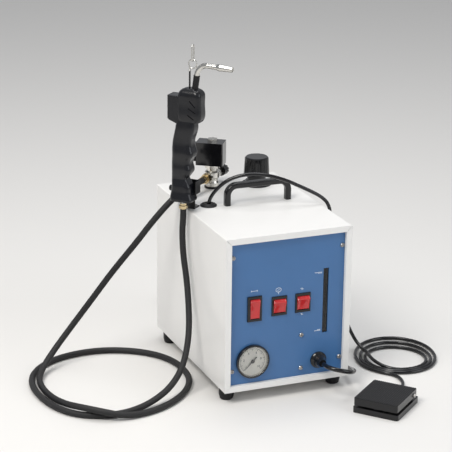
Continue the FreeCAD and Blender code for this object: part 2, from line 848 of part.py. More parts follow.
def screw(at, axis):
    """A pan-head screw: its head stands on the point at, looking along axis."""
    half = SCREW_HEAD_H / 2
    profile = (
        (0, -SCREW_L), (SCREW_R, -SCREW_L), (SCREW_R, 0), (SCREW_HEAD_R, 0), (SCREW_HEAD_R, half),
        (SCREW_HEAD_R * 0.8, SCREW_HEAD_H * 0.85), (SCREW_HEAD_R * 0.4, SCREW_HEAD_H), (0, SCREW_HEAD_H),
    )
    body = turned(profile, at, axis)
    arm = SCREW_HEAD_R * 0.6
    w = SCREW_SLOT_W / 2
    across = box(-arm, arm, -w, w, half, SCREW_HEAD_H + 1)
    cross = across.fuse(box(-w, w, -arm, arm, half, SCREW_HEAD_H + 1))
    cross.Placement = FreeCAD.Placement(V(*at), FreeCAD.Rotation(V(0, 0, 1), V(*axis)))
    return body.cut(cross)


def case_screws():
    """All the cabinet's identical screws."""
    screws = [screw((x, y, z), (0, way, 0)) for x, z, y, way in panel_screws()]
    for x, y in handle_screw_spots():
        screws.append(screw((x, y, SHEET_Z), (0, 0, -1)))
    for spot in holder_screw_spots():
        screws.append(screw((spot.x, spot.y, TOP_Z + HOLDER_T), (0, 0, 1)))
    return screws


def foot_spots():
    """The four feet's places."""
    return [(x, y) for x in (-FOOT_X, FOOT_X) for y in (-FOOT_Y, FOOT_Y)]


def case_feet():
    """Rubber feet, each with a stem and a button that snaps through the tray."""
    inside = FOOT_H + TRAY_T + FOOT_FIT
    profile = (
        (0, 0), (FOOT_BASE_R - 1.5, 0), (FOOT_BASE_R, 1.5), (FOOT_R, FOOT_H * 0.4), (FOOT_R, FOOT_H - 1.5),
        (FOOT_R - 1.5, FOOT_H), (FOOT_STEM_R, FOOT_H), (FOOT_STEM_R, inside), (FOOT_BUTTON_R, inside),
        (FOOT_STEM_R, inside + FOOT_BUTTON_H), (0, inside + FOOT_BUTTON_H),
    )
    return [turned(profile, (x, y, 0)) for x, y in foot_spots()]


def arch_face(inset):
    """The carrying handle's outline in the XZ plane, inset from its outside, down past the sheet."""
    x0 = HANDLE_X0 - HANDLE_T / 2 + inset
    x1 = HANDLE_X1 + HANDLE_T / 2 - inset
    z1 = TOP_Z + HANDLE_TOP_H - inset
    r = HANDLE_BEND_R - inset
    k = r * (1 - math.sqrt(0.5))
    y = HANDLE_Y - HANDLE_W / 2
    low = TOP_Z - (1 if inset else 0)
    edges = [
        Part.LineSegment(V(x0, y, low), V(x0, y, z1 - r)).toShape(),
        Part.Arc(V(x0, y, z1 - r), V(x0 + k, y, z1 - k), V(x0 + r, y, z1)).toShape(),
        Part.LineSegment(V(x0 + r, y, z1), V(x1 - r, y, z1)).toShape(),
        Part.Arc(V(x1 - r, y, z1), V(x1 - k, y, z1 - k), V(x1, y, z1 - r)).toShape(),
        Part.LineSegment(V(x1, y, z1 - r), V(x1, y, low)).toShape(),
        Part.LineSegment(V(x1, y, low), V(x0, y, low)).toShape(),
    ]
    return Part.Face(Part.Wire(edges))


def carry_handle():
    """A moulded U-shaped carrying handle with softened edges and a screw hole in each leg."""
    push = V(0, HANDLE_W, 0)
    arch = arch_face(0).extrude(push).cut(arch_face(HANDLE_T).extrude(push))
    long_edges = []
    for edge in arch.Edges:
        middle = edge.CenterOfMass
        flat = edge.BoundBox.YLength < 0.01
        if flat and middle.z > TOP_Z + 0.01:
            long_edges.append(edge)
    arch = arch.makeFillet(HANDLE_EDGE_R, long_edges)
    holes = []
    for x, y in handle_screw_spots():
        holes.append(rod(SCREW_R + SCREW_FIT, (x, y, TOP_Z - 1), (x, y, TOP_Z + SCREW_L)))
    return arch.cut(holes)


def cord_grommet():
    """A domed rubber bush clipped into the top sheet round the pedal lead."""
    bore = PEDAL_LEAD_R + 0.05
    profile = (
        (bore, SHEET_Z - 3), (GROMMET_CLIP_R - 1, SHEET_Z - 3), (GROMMET_CLIP_R, SHEET_Z),
        (GROMMET_NECK_R, SHEET_Z), (GROMMET_NECK_R, TOP_Z), (GROMMET_R, TOP_Z),
        (GROMMET_R, TOP_Z + GROMMET_H * 0.3), (GROMMET_R - 2.0, TOP_Z + GROMMET_H * 0.7),
        (GROMMET_R - 5.5, TOP_Z + GROMMET_H), (bore + 1.5, TOP_Z + GROMMET_H * 0.8),
        (bore, TOP_Z + GROMMET_H * 0.6),
    )
    return turned(profile, (GROMMET_X, GROMMET_Y, 0))


# Boiler, its filler and its cap


def tank_block(inset):
    """The boiler's upright cylinder, inset by a wall, with rounded ends."""
    low = (TANK_X, TANK_Y, TANK_Z0 + inset)
    high = (TANK_X, TANK_Y, TANK_Z1 - inset)
    drum = rod(TANK_R - inset, low, high)
    rims = [edge for edge in drum.Edges if isinstance(edge.Curve, Part.Circle)]
    return drum.makeFillet(TANK_EDGE_R - inset, rims)


def leg_spots():
    """Three legs evenly round the boiler."""
    spots = []
    for k in range(3):
        angle = math.radians(90 + 120 * k)
        spots.append((TANK_X + LEG_CIRCLE_R * math.cos(angle), TANK_Y + LEG_CIRCLE_R * math.sin(angle)))
    return spots


def tank_front(x):
    """The y of the boiler's front wall at a given x."""
    return TANK_Y - math.sqrt(TANK_R ** 2 - (x - TANK_X) ** 2)


def boiler_tank():
    """The pressure vessel with its filler neck, valve boss, heater boss, pipe holes and legs."""
    floor = FOOT_H + TRAY_T
    neck_top = TOP_Z + NECK_TOP_H
    parts = [tank_block(0)]
    parts.append(rod(NECK_R, (NECK_X, NECK_Y, TANK_Z1 - TANK_WALL), (NECK_X, NECK_Y, neck_top)))
    boss_low = (VALVE_X, VALVE_Y, TANK_Z1 - TANK_WALL - 2)
    parts.append(rod(VALVE_BOSS_R, boss_low, (VALVE_X, VALVE_Y, TANK_Z1 + VALVE_BOSS_H)))
    boss_front = tank_front(TANK_X) - HEATER_BOSS_L
    parts.append(along_y(HEATER_BOSS_R, TANK_X, HEATER_Z, boss_front, TANK_Y - TANK_R + 4))
    for x, y in leg_spots():
        parts.append(rod(LEG_R, (x, y, floor), (x, y, TANK_Z0 + 1)))
        parts.append(rod(LEG_PAD_R, (x, y, floor), (x, y, floor + LEG_PAD_T)))
    tank = fuse(*parts).cut(tank_block(TANK_WALL))
    holes = [rod(NECK_BORE_R, (NECK_X, NECK_Y, TANK_Z1 - TANK_WALL - 1), (NECK_X, NECK_Y, neck_top + 1))]
    pipe_low = (VALVE_X, VALVE_Y, TANK_Z1 + 1)
    holes.append(rod(VALVE_PIPE_R + VALVE_FIT, pipe_low, (VALVE_X, VALVE_Y, TANK_Z1 + VALVE_BOSS_H + 1)))
    holes.append(rod(VALVE_DUCT_R, (VALVE_X, VALVE_Y, TANK_Z1 - TANK_WALL - 3), pipe_low))
    holes.append(along_y(HEATER_BORE_R, TANK_X, HEATER_Z, boss_front - 1, TANK_Y - TANK_R + 6))
    for x, z, radius, y0, y1 in pipe_runs():
        holes.append(along_y(radius + PIPE_FIT, x, z, y1 - 2 * PIPE_INSIDE, y1 + 1))
    return tank.cut(holes)


def pipe_runs():
    """The pipes that enter the boiler's front: (x, z, radius, front end, rear end)."""
    gauge_back = PANEL_Y + GAUGE_BODY_L + GAUGE_STEM_L
    pswitch_back = PANEL_BACK_Y + PSWITCH_STANDOFF + PSWITCH_L + PSWITCH_PORT_L
    runs = [(GAUGE_X, GAUGE_Z, GAUGE_PIPE_R, gauge_back, tank_front(GAUGE_X) + PIPE_INSIDE)]
    runs.append((PSWITCH_PORT_X, PSWITCH_PORT_Z, PSWITCH_PIPE_R, pswitch_back,
                 tank_front(PSWITCH_PORT_X) + PIPE_INSIDE))
    sight_back = SIGHT_Y + FITTING_R - 1
    for z in fitting_pipe_heights():
        runs.append((sight_x(), z, FITTING_PIPE_R, sight_back, tank_front(sight_x()) + PIPE_INSIDE))
    return runs


def heating_element():
    """A screwed-in flange that carries a U-shaped heating tube and two terminals."""
    face = tank_front(TANK_X) - HEATER_BOSS_L
    flange = hexagon(2 * HEATER_BOSS_R, (TANK_X, face - HEATER_FLANGE_T, HEATER_Z), (TANK_X, face, HEATER_Z))
    parts = [flange]
    reach = face + HEATER_REACH
    for side in (-1, 1):
        x = TANK_X + side * HEATER_SPREAD
        parts.append(along_y(HEATER_TUBE_R, x, HEATER_Z, face - 1, reach))
        parts.append(along_y(TERMINAL_R, x, HEATER_Z, face - HEATER_FLANGE_T - TERMINAL_L, face - 2))
    bend = Part.makeTorus(HEATER_SPREAD, HEATER_TUBE_R, V(TANK_X, reach, HEATER_Z), V(0, 0, 1))
    half = bend.common(box(TANK_X - 20, TANK_X + 20, reach, reach + 20, HEATER_Z - 10, HEATER_Z + 10))
    return fuse(*parts, half)


def boiler_pipes():
    """The two thin pipes from the gauge and the pressure switch to the boiler."""
    return [along_y(radius, x, z, y0, y1) for x, z, radius, y0, y1 in pipe_runs()[:2]]


def filler_ring():
    """The dished ring round the filler neck on the top sheet."""
    bore = NECK_R + COLLAR_BORE_GAP
    profile = (
        (bore, TOP_Z), (RING_R, TOP_Z), (RING_R, TOP_Z + RING_T * 0.6), (RING_R - 1, TOP_Z + RING_T),
        (COLLAR_R0, TOP_Z + RING_T), (COLLAR_R1, TOP_Z + COLLAR_TOP_H), (bore, TOP_Z + COLLAR_TOP_H),
    )
    return turned(profile, (NECK_X, NECK_Y, 0))


def cap_levels():
    """Heights of the cap: skirt bottom, top of its cavity, top of the neck."""
    skirt = TOP_Z + COLLAR_TOP_H + CAP_GAP
    return skirt, skirt + CAP_SKIRT_H, TOP_Z + NECK_TOP_H


def boiler_cap():
    """The fluted filler cap: a skirt round the neck under a tall grip."""
    skirt, deck, neck_top = cap_levels()
    top = TOP_Z + CAP_TOP_H
    profile = (
        (0, deck), (NECK_R + CAP_CAVITY_GAP, deck), (NECK_R + CAP_CAVITY_GAP, skirt), (CAP_SKIRT_R, skirt),
        (CAP_SKIRT_R, deck), (CAP_R0 - 1, deck), (CAP_R0, deck + 1), (CAP_R1, top - CAP_BEVEL),
        (CAP_R1 - CAP_BEVEL, top), (0, top),
    )
    cap = turned(profile, (NECK_X, NECK_Y, 0))
    cuts = [rod(STUD_R + STUD_FIT, (NECK_X, NECK_Y, deck - 1), (NECK_X, NECK_Y, deck + STUD_L))]
    for k in range(CAP_FLUTES):
        angle = 2 * math.pi * k / CAP_FLUTES
        c = math.cos(angle)
        s = math.sin(angle)
        low = (NECK_X + (CAP_R0 + 0.4) * c, NECK_Y + (CAP_R0 + 0.4) * s, deck + 2)
        high = (NECK_X + (CAP_R1 + 0.4) * c, NECK_Y + (CAP_R1 + 0.4) * s, top + 1)
        cuts.append(rod(CAP_FLUTE_R, low, high))
    return cap.cut(cuts)


def cap_plug():
    """The stopper that closes the neck; the cap turns on its stud."""
    skirt, deck, neck_top = cap_levels()
    plug_r = NECK_BORE_R - PLUG_FIT
    seat = neck_top + PLUG_LIFT_GAP
    profile = (
        (0, neck_top - PLUG_DROP), (plug_r - 1.5, neck_top - PLUG_DROP),
        (plug_r, neck_top - PLUG_DROP + 1.5), (plug_r, seat),
        (PLUG_FLANGE_R, seat), (PLUG_FLANGE_R, seat + PLUG_FLANGE_T),
        (STUD_R, seat + PLUG_FLANGE_T), (STUD_R, deck + STUD_L - 1), (0, deck + STUD_L - 1),
    )
    return turned(profile, (NECK_X, NECK_Y, 0))


# Level gauge behind the slot


def sight_x():
    """The sight tube stands behind the middle of the slot."""
    return (SLOT_X0 + SLOT_X1) / 2


def fitting_pipe_heights():
    """Heights of the pipes that join the sight fittings to the boiler."""
    drop = FITTING_H / 2 - SIGHT_SOCKET / 2
    return (SIGHT_Z0 - drop, SIGHT_Z1 + drop)


def level_window():
    """A clear strip behind the slot."""
    return box(SLOT_X0 - WINDOW_EDGE, SLOT_X1 + WINDOW_EDGE, PANEL_BACK_Y, PANEL_BACK_Y + WINDOW_T,
               SLOT_Z0 - WINDOW_EDGE, SLOT_Z1 + WINDOW_EDGE)


def sight_tube():
    """The glass level tube."""
    outer = rod(SIGHT_R, (sight_x(), SIGHT_Y, SIGHT_Z0), (sight_x(), SIGHT_Y, SIGHT_Z1))
    bore = rod(SIGHT_R - SIGHT_WALL, (sight_x(), SIGHT_Y, SIGHT_Z0 - 1), (sight_x(), SIGHT_Y, SIGHT_Z1 + 1))
    return outer.cut(bore)


def sight_fittings():
    """A brass fitting at each end of the sight tube, with its pipe to the boiler."""
    fittings = []
    runs = pipe_runs()[2:]
    for (z, way), run in zip(((SIGHT_Z0, 1), (SIGHT_Z1, -1)), runs):
        socket = z + way * SIGHT_SOCKET
        blind = socket - way * FITTING_H
        block = rod(FITTING_R, (sight_x(), SIGHT_Y, socket), (sight_x(), SIGHT_Y, blind))
        seat = rod(SIGHT_R + FITTING_FIT, (sight_x(), SIGHT_Y, z), (sight_x(), SIGHT_Y, socket + way))
        duct = rod(SIGHT_R - SIGHT_WALL, (sight_x(), SIGHT_Y, z - way * 4), (sight_x(), SIGHT_Y, z + way))
        x, pipe_z, radius, y0, y1 = run
        pipe = along_y(radius, x, pipe_z, SIGHT_Y + 2, y1)
        fittings.append(fuse(block, pipe).cut([seat, duct]))
    return fittings


# Pressure gauge


def gauge_piece(profile):
    """A turned piece on the gauge's axis: distances run back from the panel's face."""
    return turned(profile, (GAUGE_X, PANEL_Y, GAUGE_Z), (0, 1, 0))


def gauge_case():
    """The gauge's body with a rolled rim, a seat for the dial and a block for the movement."""
    seat = DIAL_T - DIAL_GAP
    floor = GAUGE_BODY_L - GAUGE_BACK_T
    end = GAUGE_BODY_L + GAUGE_STEM_L
    profile = (
        (0, floor), (GAUGE_DEEP_BORE_R, floor), (GAUGE_DEEP_BORE_R, seat),
        (GAUGE_LENS_BORE_R, seat), (GAUGE_LENS_BORE_R, -GAUGE_RIM_H), (GAUGE_RIM_R - 1, -GAUGE_RIM_H),
        (GAUGE_RIM_R, 1 - GAUGE_RIM_H), (GAUGE_RIM_R, 0), (GAUGE_BODY_R, 0), (GAUGE_BODY_R, GAUGE_BODY_L),
        (GAUGE_STEM_R, GAUGE_BODY_L), (GAUGE_STEM_R, end), (0, end),
    )
    back = floor + 1
    block = gauge_piece(((0, MOVEMENT_GAP), (MOVEMENT_R, MOVEMENT_GAP), (MOVEMENT_R, back), (0, back)))
    hole = SPINDLE_R + SPINDLE_FIT
    deep = MOVEMENT_GAP + 5
    spindle = gauge_piece(((0, 0), (hole, 0), (hole, deep), (0, deep)))
    return fuse(gauge_piece(profile), block).cut(spindle)


def gauge_dial():
    """The dial plate."""
    radius = GAUGE_LENS_BORE_R - LENS_GAP
    hole = SPINDLE_R + SPINDLE_FIT
    return gauge_piece(((hole, -DIAL_GAP), (radius, -DIAL_GAP), (radius, DIAL_T - DIAL_GAP),
                        (hole, DIAL_T - DIAL_GAP)))


def gauge_lens():
    """The clear lens just inside the rim."""
    radius = GAUGE_LENS_BORE_R - LENS_GAP
    front = LENS_DEPTH - GAUGE_RIM_H
    return gauge_piece(((0, front), (radius, front), (radius, front + LENS_T), (0, front + LENS_T)))


def gauge_pointer():
    """The pointer: hub, tapered blade with a tail, and its spindle."""
    back = -POINTER_LIFT
    front = back - POINTER_T
    profile = (
        (0, front), (POINTER_HUB_R, front), (POINTER_HUB_R, back), (SPINDLE_R, back),
        (SPINDLE_R, MOVEMENT_GAP + 4), (0, MOVEMENT_GAP + 4),
    )
    hub = gauge_piece(profile)
    way = math.radians(POINTER_REST_DEG)
    dx = math.cos(way)
    dz = math.sin(way)
    w = POINTER_W / 2
    tip = (GAUGE_X + dx * POINTER_L, GAUGE_Z + dz * POINTER_L)
    tail = (GAUGE_X - dx * POINTER_TAIL, GAUGE_Z - dz * POINTER_TAIL)
    outline = (
        (tip[0] - dz * 0.3, PANEL_Y + front, tip[1] + dx * 0.3),
        (tip[0] + dz * 0.3, PANEL_Y + front, tip[1] - dx * 0.3),
        (tail[0] + dz * w, PANEL_Y + front, tail[1] - dx * w),
        (tail[0] - dz * w, PANEL_Y + front, tail[1] + dx * w),
    )
    return fuse(hub, prism(outline, (0, POINTER_T, 0)))


# Rocker switches


def rocker_switch(x, z, bezel_w, bezel_h, body_w, body_h, proud, rocker_w, rocker_r, pivot_depth,
                  half_angle, tilt):
    """The sizes of one rocker switch, gathered under plain names."""
    return {
        "x": x, "z": z, "bezel_w": bezel_w, "bezel_h": bezel_h, "body_w": body_w, "body_h": body_h,
        "proud": proud, "rocker_w": rocker_w, "rocker_r": rocker_r, "pivot_y": PANEL_Y - proud + pivot_depth,
        "half_angle": half_angle, "tilt": tilt,
    }


SWITCHES = {
    "mains_switch": rocker_switch(-55.2, 151.9, 23.6, 40.8, 20.4, 36.4, 3.0, 14.5, 16.6, 3.9, 67.2, 5.65),
    "heater_switch": rocker_switch(-13.7, 151.5, 25.5, 31.5, 24.0, 28.6, 2.2, 19.2, 12.0, 4.3, 52.7, 14.3),
    "steam_switch": rocker_switch(26.0, 151.9, 25.5, 31.5, 24.0, 28.6, 2.2, 19.2, 12.0, 4.3, 52.7, 14.3),
}


def switch_housing(switch):
    """A bezel in front of the panel, a body behind it, a round cavity for the rocker, three lugs."""
    x = switch["x"]
    z = switch["z"]
    front = PANEL_Y - switch["proud"]
    pivot = switch["pivot_y"]
    half_w = switch["bezel_w"] / 2
    half_h = switch["bezel_h"] / 2
    bezel = box(x - half_w, x + half_w, front, PANEL_Y, z - half_h, z + half_h)
    rims = [edge for edge in bezel.Edges if edge.CenterOfMass.y < front + 0.01]
    bezel = bezel.makeFillet(SWITCH_CORNER_R * 0.6, rims)
    body_w = switch["body_w"] / 2
    body_h = switch["body_h"] / 2
    body = box(x - body_w, x + body_w, PANEL_Y - 1, PANEL_Y + SWITCH_BODY_L, z - body_h, z + body_h)
    lugs = []
    for row in (-1, 0, 1):
        lug_z = z + row * body_h * 0.6
        lugs.append(box(x - SWITCH_LUG_W / 2, x + SWITCH_LUG_W / 2, PANEL_Y + SWITCH_BODY_L - 1,
                        PANEL_Y + SWITCH_BODY_L + SWITCH_LUG_L, lug_z, lug_z + SWITCH_LUG_T))
    cavity_w = switch["rocker_w"] / 2 + ROCKER_SIDE_GAP
    drum = rod(switch["rocker_r"] + ROCKER_END_GAP, (x - cavity_w, pivot, z), (x + cavity_w, pivot, z))
    room = box(x - 50, x + 50, front - 30, pivot + ROCKER_BACK_ROOM, z - 50, z + 50)
    pin_w = switch["rocker_w"] / 2 + STUB_L + 0.2
    pins = rod(STUB_R + STUB_FIT, (x - pin_w, pivot, z), (x + pin_w, pivot, z))
    return fuse(bezel, body, *lugs).cut([drum.common(room), pins])


def switch_rocker(switch):
    """A rocker: a slice of a drum with a flat face, tilted to its rest position, on stub pins."""
    x = switch["x"]
    z = switch["z"]
    pivot = switch["pivot_y"]
    half_w = switch["rocker_w"] / 2
    flat = switch["rocker_r"] * math.cos(math.radians(switch["half_angle"]))
    drum = rod(switch["rocker_r"], (x - half_w, pivot, z), (x + half_w, pivot, z))
    slab = box(x - 50, x + 50, pivot - flat, pivot + ROCKER_BACK, z - 50, z + 50)
    pin_w = half_w + STUB_L
    rocker = fuse(drum.common(slab), rod(STUB_R, (x - pin_w, pivot, z), (x + pin_w, pivot, z)))
    rocker.rotate(V(x, pivot, z), V(1, 0, 0), switch["tilt"])
    return rocker


# Pressure switch and mains gland


def pressure_switch():
    """The pressure switch's block with two screw bosses and a port at the back."""
    front = PANEL_BACK_Y + PSWITCH_STANDOFF
    back = front + PSWITCH_L
    parts = [box(PSWITCH_X0, PSWITCH_X1, front, back, PSWITCH_Z0, PSWITCH_Z1)]
    for z in (PSWITCH_SCREW_Z0, PSWITCH_SCREW_Z1):
        parts.append(along_y(PSWITCH_BOSS_R, PSWITCH_SCREW_X, z, PANEL_BACK_Y, front + 1))
    parts.append(along_y(PSWITCH_PORT_R, PSWITCH_PORT_X, PSWITCH_PORT_Z, back - 1, back + PSWITCH_PORT_L))
    return fuse(*parts).cut(panel_screw_holes())


def cord_gland():
    """The mains lead's strain relief, held by a nut behind the panel."""
    depth = PANEL_T + GLAND_NUT_T
    profile = (
        (0, -depth - 2), (GLAND_THREAD_R, -depth - 2), (GLAND_THREAD_R, 0),
        (GLAND_BASE_R, 0), (GLAND_BASE_R, GLAND_RIM_L * 0.6), (GLAND_BASE_R - 1.2, GLAND_RIM_L),
        (GLAND_TIP_R + 4.2, GLAND_RIM_L + 2.0), (GLAND_TIP_R + 1.6, GLAND_L * 0.62), (GLAND_TIP_R, GLAND_L),
        (0, GLAND_L),
    )
    gland = turned(profile, (GLAND_X, PANEL_Y, GLAND_Z), (0, -1, 0))
    nut_at = (GLAND_X, PANEL_BACK_Y, GLAND_Z)
    nut = hexagon(2 * GLAND_NUT_R, nut_at, (GLAND_X, PANEL_BACK_Y + GLAND_NUT_T, GLAND_Z))
    thread = along_y(GLAND_THREAD_R, GLAND_X, GLAND_Z, PANEL_BACK_Y - 1, PANEL_BACK_Y + GLAND_NUT_T + 1)
    return [gland, nut.cut(thread)]


# Steam valve


def outlet_point(reach, height, side=0.0):
    """A point on the valve's outlet axis: reach along it, height over the top, side across it."""
    angle = math.radians(OUTLET_DEG)
    c = math.cos(angle)
    s = math.sin(angle)
    return (VALVE_X + c * reach - s * side, VALVE_Y + s * reach + c * side, TOP_Z + height)


def outlet_bar(radius, start, end):
    """A round bar on the outlet axis."""
    return rod(radius, outlet_point(start, VALVE_PORT_H), outlet_point(end, VALVE_PORT_H))


def valve_gasket():
    """The dark washer between the valve and the top sheet."""
    hole = VALVE_PIPE_R + VALVE_FIT
    profile = ((hole, TOP_Z), (GASKET_R, TOP_Z), (GASKET_R, TOP_Z + GASKET_T), (hole, TOP_Z + GASKET_T))
    return turned(profile, (VALVE_X, VALVE_Y, 0))


def valve_body():
    """The cast valve body: nipple, waist, bulge, flange, armature tube, outlet boss and bonnet."""
    low = TANK_Z1 + 1 - TOP_Z
    base = GASKET_T
    profile = (
        (0, low), (VALVE_PIPE_R, low), (VALVE_PIPE_R, base), (VALVE_BASE_R, base),
        (VALVE_BASE_R, base + 6), (VALVE_WAIST_R, base + 9), (VALVE_WAIST_R, base + 13),
        (VALVE_BULGE_R, base + 15.5), (VALVE_BULGE_R, base + 24), (VALVE_NECK_R, base + 27),
        (VALVE_NECK_R, VALVE_FLANGE_H0), (VALVE_BULGE_R, VALVE_FLANGE_H0), (VALVE_BULGE_R, VALVE_FLANGE_H1),
        (VALVE_TUBE_R, VALVE_FLANGE_H1), (VALVE_TUBE_R, VALVE_TUBE_TOP_H), (0, VALVE_TUBE_TOP_H),
    )
    body = fuse(turned(profile, (VALVE_X, VALVE_Y, TOP_Z)), outlet_bar(OUTLET_R, 0, OUTLET_L),
                outlet_bar(BONNET_R, -BONNET_L, 0))
    seat = plunger_low()
    cuts = [rod(VALVE_DUCT_R, (VALVE_X, VALVE_Y, TANK_Z1), (VALVE_X, VALVE_Y, seat + 1))]
    bore_top = (VALVE_X, VALVE_Y, TOP_Z + VALVE_TUBE_TOP_H - 3)
    cuts.append(rod(VALVE_TUBE_BORE_R, (VALVE_X, VALVE_Y, seat), bore_top))
    cuts.append(outlet_bar(FERRULE_BORE_R, 0, OUTLET_L + 1))
    cuts.append(outlet_bar(KNOB_STEM_R + KNOB_STEM_FIT, -BONNET_L - 1, -VALVE_DUCT_R - 4))
    return body.cut(cuts)


def plunger_low():
    """The height at which the closed plunger sits on its seat."""
    return TOP_Z + VALVE_PORT_H + OUTLET_R - 1


def valve_plunger():
    """The magnetic plunger inside the armature tube."""
    low = plunger_low()
    radius = VALVE_TUBE_BORE_R - PLUNGER_FIT
    return rod(radius, (VALVE_X, VALVE_Y, low), (VALVE_X, VALVE_Y, low + PLUNGER_L))


def coil_block(x0, x1, y0, y1, z0, z1, radius):
    """A block placed in the solenoid's own turned frame, its upright edges rounded."""
    return placed(rounded_block(x0, x1, y0, y1, z0, z1, radius), (VALVE_X, VALVE_Y, TOP_Z), VALVE_YAW)


def coil_span():
    """The solenoid block's ends across and its bottom and top, in its own frame."""
    x1 = COIL_X / 2 - COIL_SHIFT
    return x1 - COIL_X, x1, VALVE_FLANGE_H1 + 1, VALVE_FLANGE_H1 + 1 + COIL_Z


def valve_coil():
    """The moulded solenoid coil that slips over the armature tube."""
    x0, x1, z0, z1 = coil_span()
    block = coil_block(x0, x1, -COIL_Y / 2, COIL_Y / 2, z0, z1, COIL_EDGE_R)
    tube_hole = VALVE_TUBE_R + COIL_FIT
    hole = rod(tube_hole, (VALVE_X, VALVE_Y, TOP_Z + z0 - 1), (VALVE_X, VALVE_Y, TOP_Z + z1 + 1))
    x = (x0 + x1) / 2
    y = -COIL_Y / 2
    z = (z0 + z1) / 2
    pip = placed(rod(PIP_R, (x, y - PIP_H, z), (x, y + 1, z)), (VALVE_X, VALVE_Y, TOP_Z), VALVE_YAW)
    return fuse(block, pip).cut(hole)


def coil_nut():
    """The hexagon nut that holds the coil on its tube."""
    x0, x1, z0, z1 = coil_span()
    nut = hexagon(COIL_NUT_AF, (VALVE_X, VALVE_Y, TOP_Z + z1), (VALVE_X, VALVE_Y, TOP_Z + z1 + COIL_NUT_H))
    bore = rod(VALVE_TUBE_R + VALVE_FIT, (VALVE_X, VALVE_Y, TOP_Z + z1 - 1),
               (VALVE_X, VALVE_Y, TOP_Z + VALVE_TUBE_TOP_H + 0.1))
    return nut.cut(bore)


def valve_plug():
    """The coil's plug-on connector with its fixing screw."""
    x0, x1, z0, z1 = coil_span()
    middle = (z0 + z1) / 2
    half = VALVE_PLUG_W / 2
    block = coil_block(x0 - VALVE_PLUG_L, x0, -half, half, middle - half, middle + half, COIL_EDGE_R)
    at = (VALVE_X, VALVE_Y, TOP_Z)
    head_at = place_point((x0 - VALVE_PLUG_L - 1.2, 0, middle), at, VALVE_YAW)
    head_in = place_point((x0 - VALVE_PLUG_L + 1, 0, middle), at, VALVE_YAW)
    return fuse(block, rod(VALVE_PLUG_SCREW_R, head_at, head_in))


def flow_knob():
    """The steam flow knob and its stem, opposite the outlet."""
    end = -KNOB_T0 - KNOB_L
    knob = fuse(outlet_bar(KNOB_R, -KNOB_T0, end), outlet_bar(KNOB_STEM_R, -VALVE_DUCT_R - 5, -KNOB_T0 - 1))
    flutes = []
    for k in range(KNOB_FLUTES):
        angle = 2 * math.pi * k / KNOB_FLUTES
        rise = VALVE_PORT_H + (KNOB_R + 0.6) * math.sin(angle)
        side = (KNOB_R + 0.6) * math.cos(angle)
        flutes.append(rod(1.6, outlet_point(-KNOB_T0 - 3, rise, side), outlet_point(end - 1, rise, side)))
    return knob.cut(flutes)


def hose_fitting():
    """The brass outlet fitting: a hexagon and a crimped ferrule."""
    start = outlet_point(OUTLET_L, VALVE_PORT_H)
    middle = outlet_point(OUTLET_L + HEX_L, VALVE_PORT_H)
    end = OUTLET_L + HEX_L + FERRULE_L
    body = fuse(hexagon(HEX_AF, start, middle), outlet_bar(FERRULE_R, OUTLET_L + HEX_L - 1, end))
    return body.cut(outlet_bar(FERRULE_BORE_R, OUTLET_L - 1, end + 1))


# Steam gun, modelled upright in its own frame: X toward its nozzle, heights from its butt

# Each row: height, middle of the section, half its depth along X
GRIP_ROWS = (
    (0.0, 0.0, 18.5), (6.0, 0.0, 18.6), (18.0, -0.8, 16.1), (28.0, -1.9, 14.8), (41.0, -3.1, 13.7),
    (52.0, -0.35, 16.0), (59.0, -1.35, 15.2), (70.0, 0.3, 16.3), (83.0, 1.5, 17.2), (107.0, 3.1, 16.0),
    (122.0, 5.9, 15.8), (138.0, 9.0, 15.8),
)
# Each row: height, middle, half depth, half width, corner radius
HEAD_ROWS = (
    (129.0, 12.5, 17.5, 12.0, 7.0), (134.0, 13.0, 19.5, 14.0, 8.0), (150.0, 13.0, 20.0, 14.0, 8.0),
    (168.0, 13.5, 19.5, 14.0, 8.0), (175.0, 13.5, 18.5, 13.2, 8.0), (179.5, 13.5, 14.5, 10.0, 7.0),
    (181.8, 13.5, 9.0, 6.0, 4.5),
)
# The lance's route through the grip and over the top
LANCE_POINTS = (
    (0.0, 0.0, -8.0), (0.0, 0.0, 32.0), (1.0, 0.0, 72.0), (6.5, 0.0, 112.0), (14.9, 0.0, 150.0),
    (23.3, 0.0, 210.0), (33.4, 0.0, 219.6), (59.0, 0.0, 218.6),
)
# Vent slots in the head's left side: two ends each, as (X, height)
GUN_VENTS = (
    ((15.8, 164.1), (26.1, 154.3)), ((14.2, 152.1), (26.2, 145.6)), ((13.4, 141.7), (23.7, 135.0)),
)


def on_gun(shape):
    """A shape of the gun's own frame in the cabinet's frame."""
    return placed(shape, GUN_AT, GUN_YAW)


def rounded_outline(middle, half_x, half_y, radius, z):
    """A level rectangle with round corners: four lines and four quarter arcs."""
    arcs = []
    for turn, (sx, sy) in enumerate(((1, 1), (-1, 1), (-1, -1), (1, -1))):
        corner = V(middle + sx * (half_x - radius), sy * (half_y - radius), z)
        first = math.pi / 2 * turn
        spots = [corner + V(radius * math.cos(first + bit), radius * math.sin(first + bit), 0)
                 for bit in (0, math.pi / 4, math.pi / 2)]
        arcs.append(spots)
    edges = []
    for here, after in zip(arcs, arcs[1:] + arcs[:1]):
        edges.append(Part.Arc(*here).toShape())
        edges.append(Part.LineSegment(here[2], after[0]).toShape())
    return Part.Wire(edges)


def grip_loft(wall):
    """The grip's smooth body, or its hollow when a wall is taken off."""
    outlines = []
    for z, middle, half in GRIP_ROWS:
        half_x = half - wall
        half_y = half * GUN_SHAPE - wall
        outlines.append(rounded_outline(middle, half_x, half_y, half_y * GUN_CORNER, z))
    return Part.makeLoft(outlines, True, False)


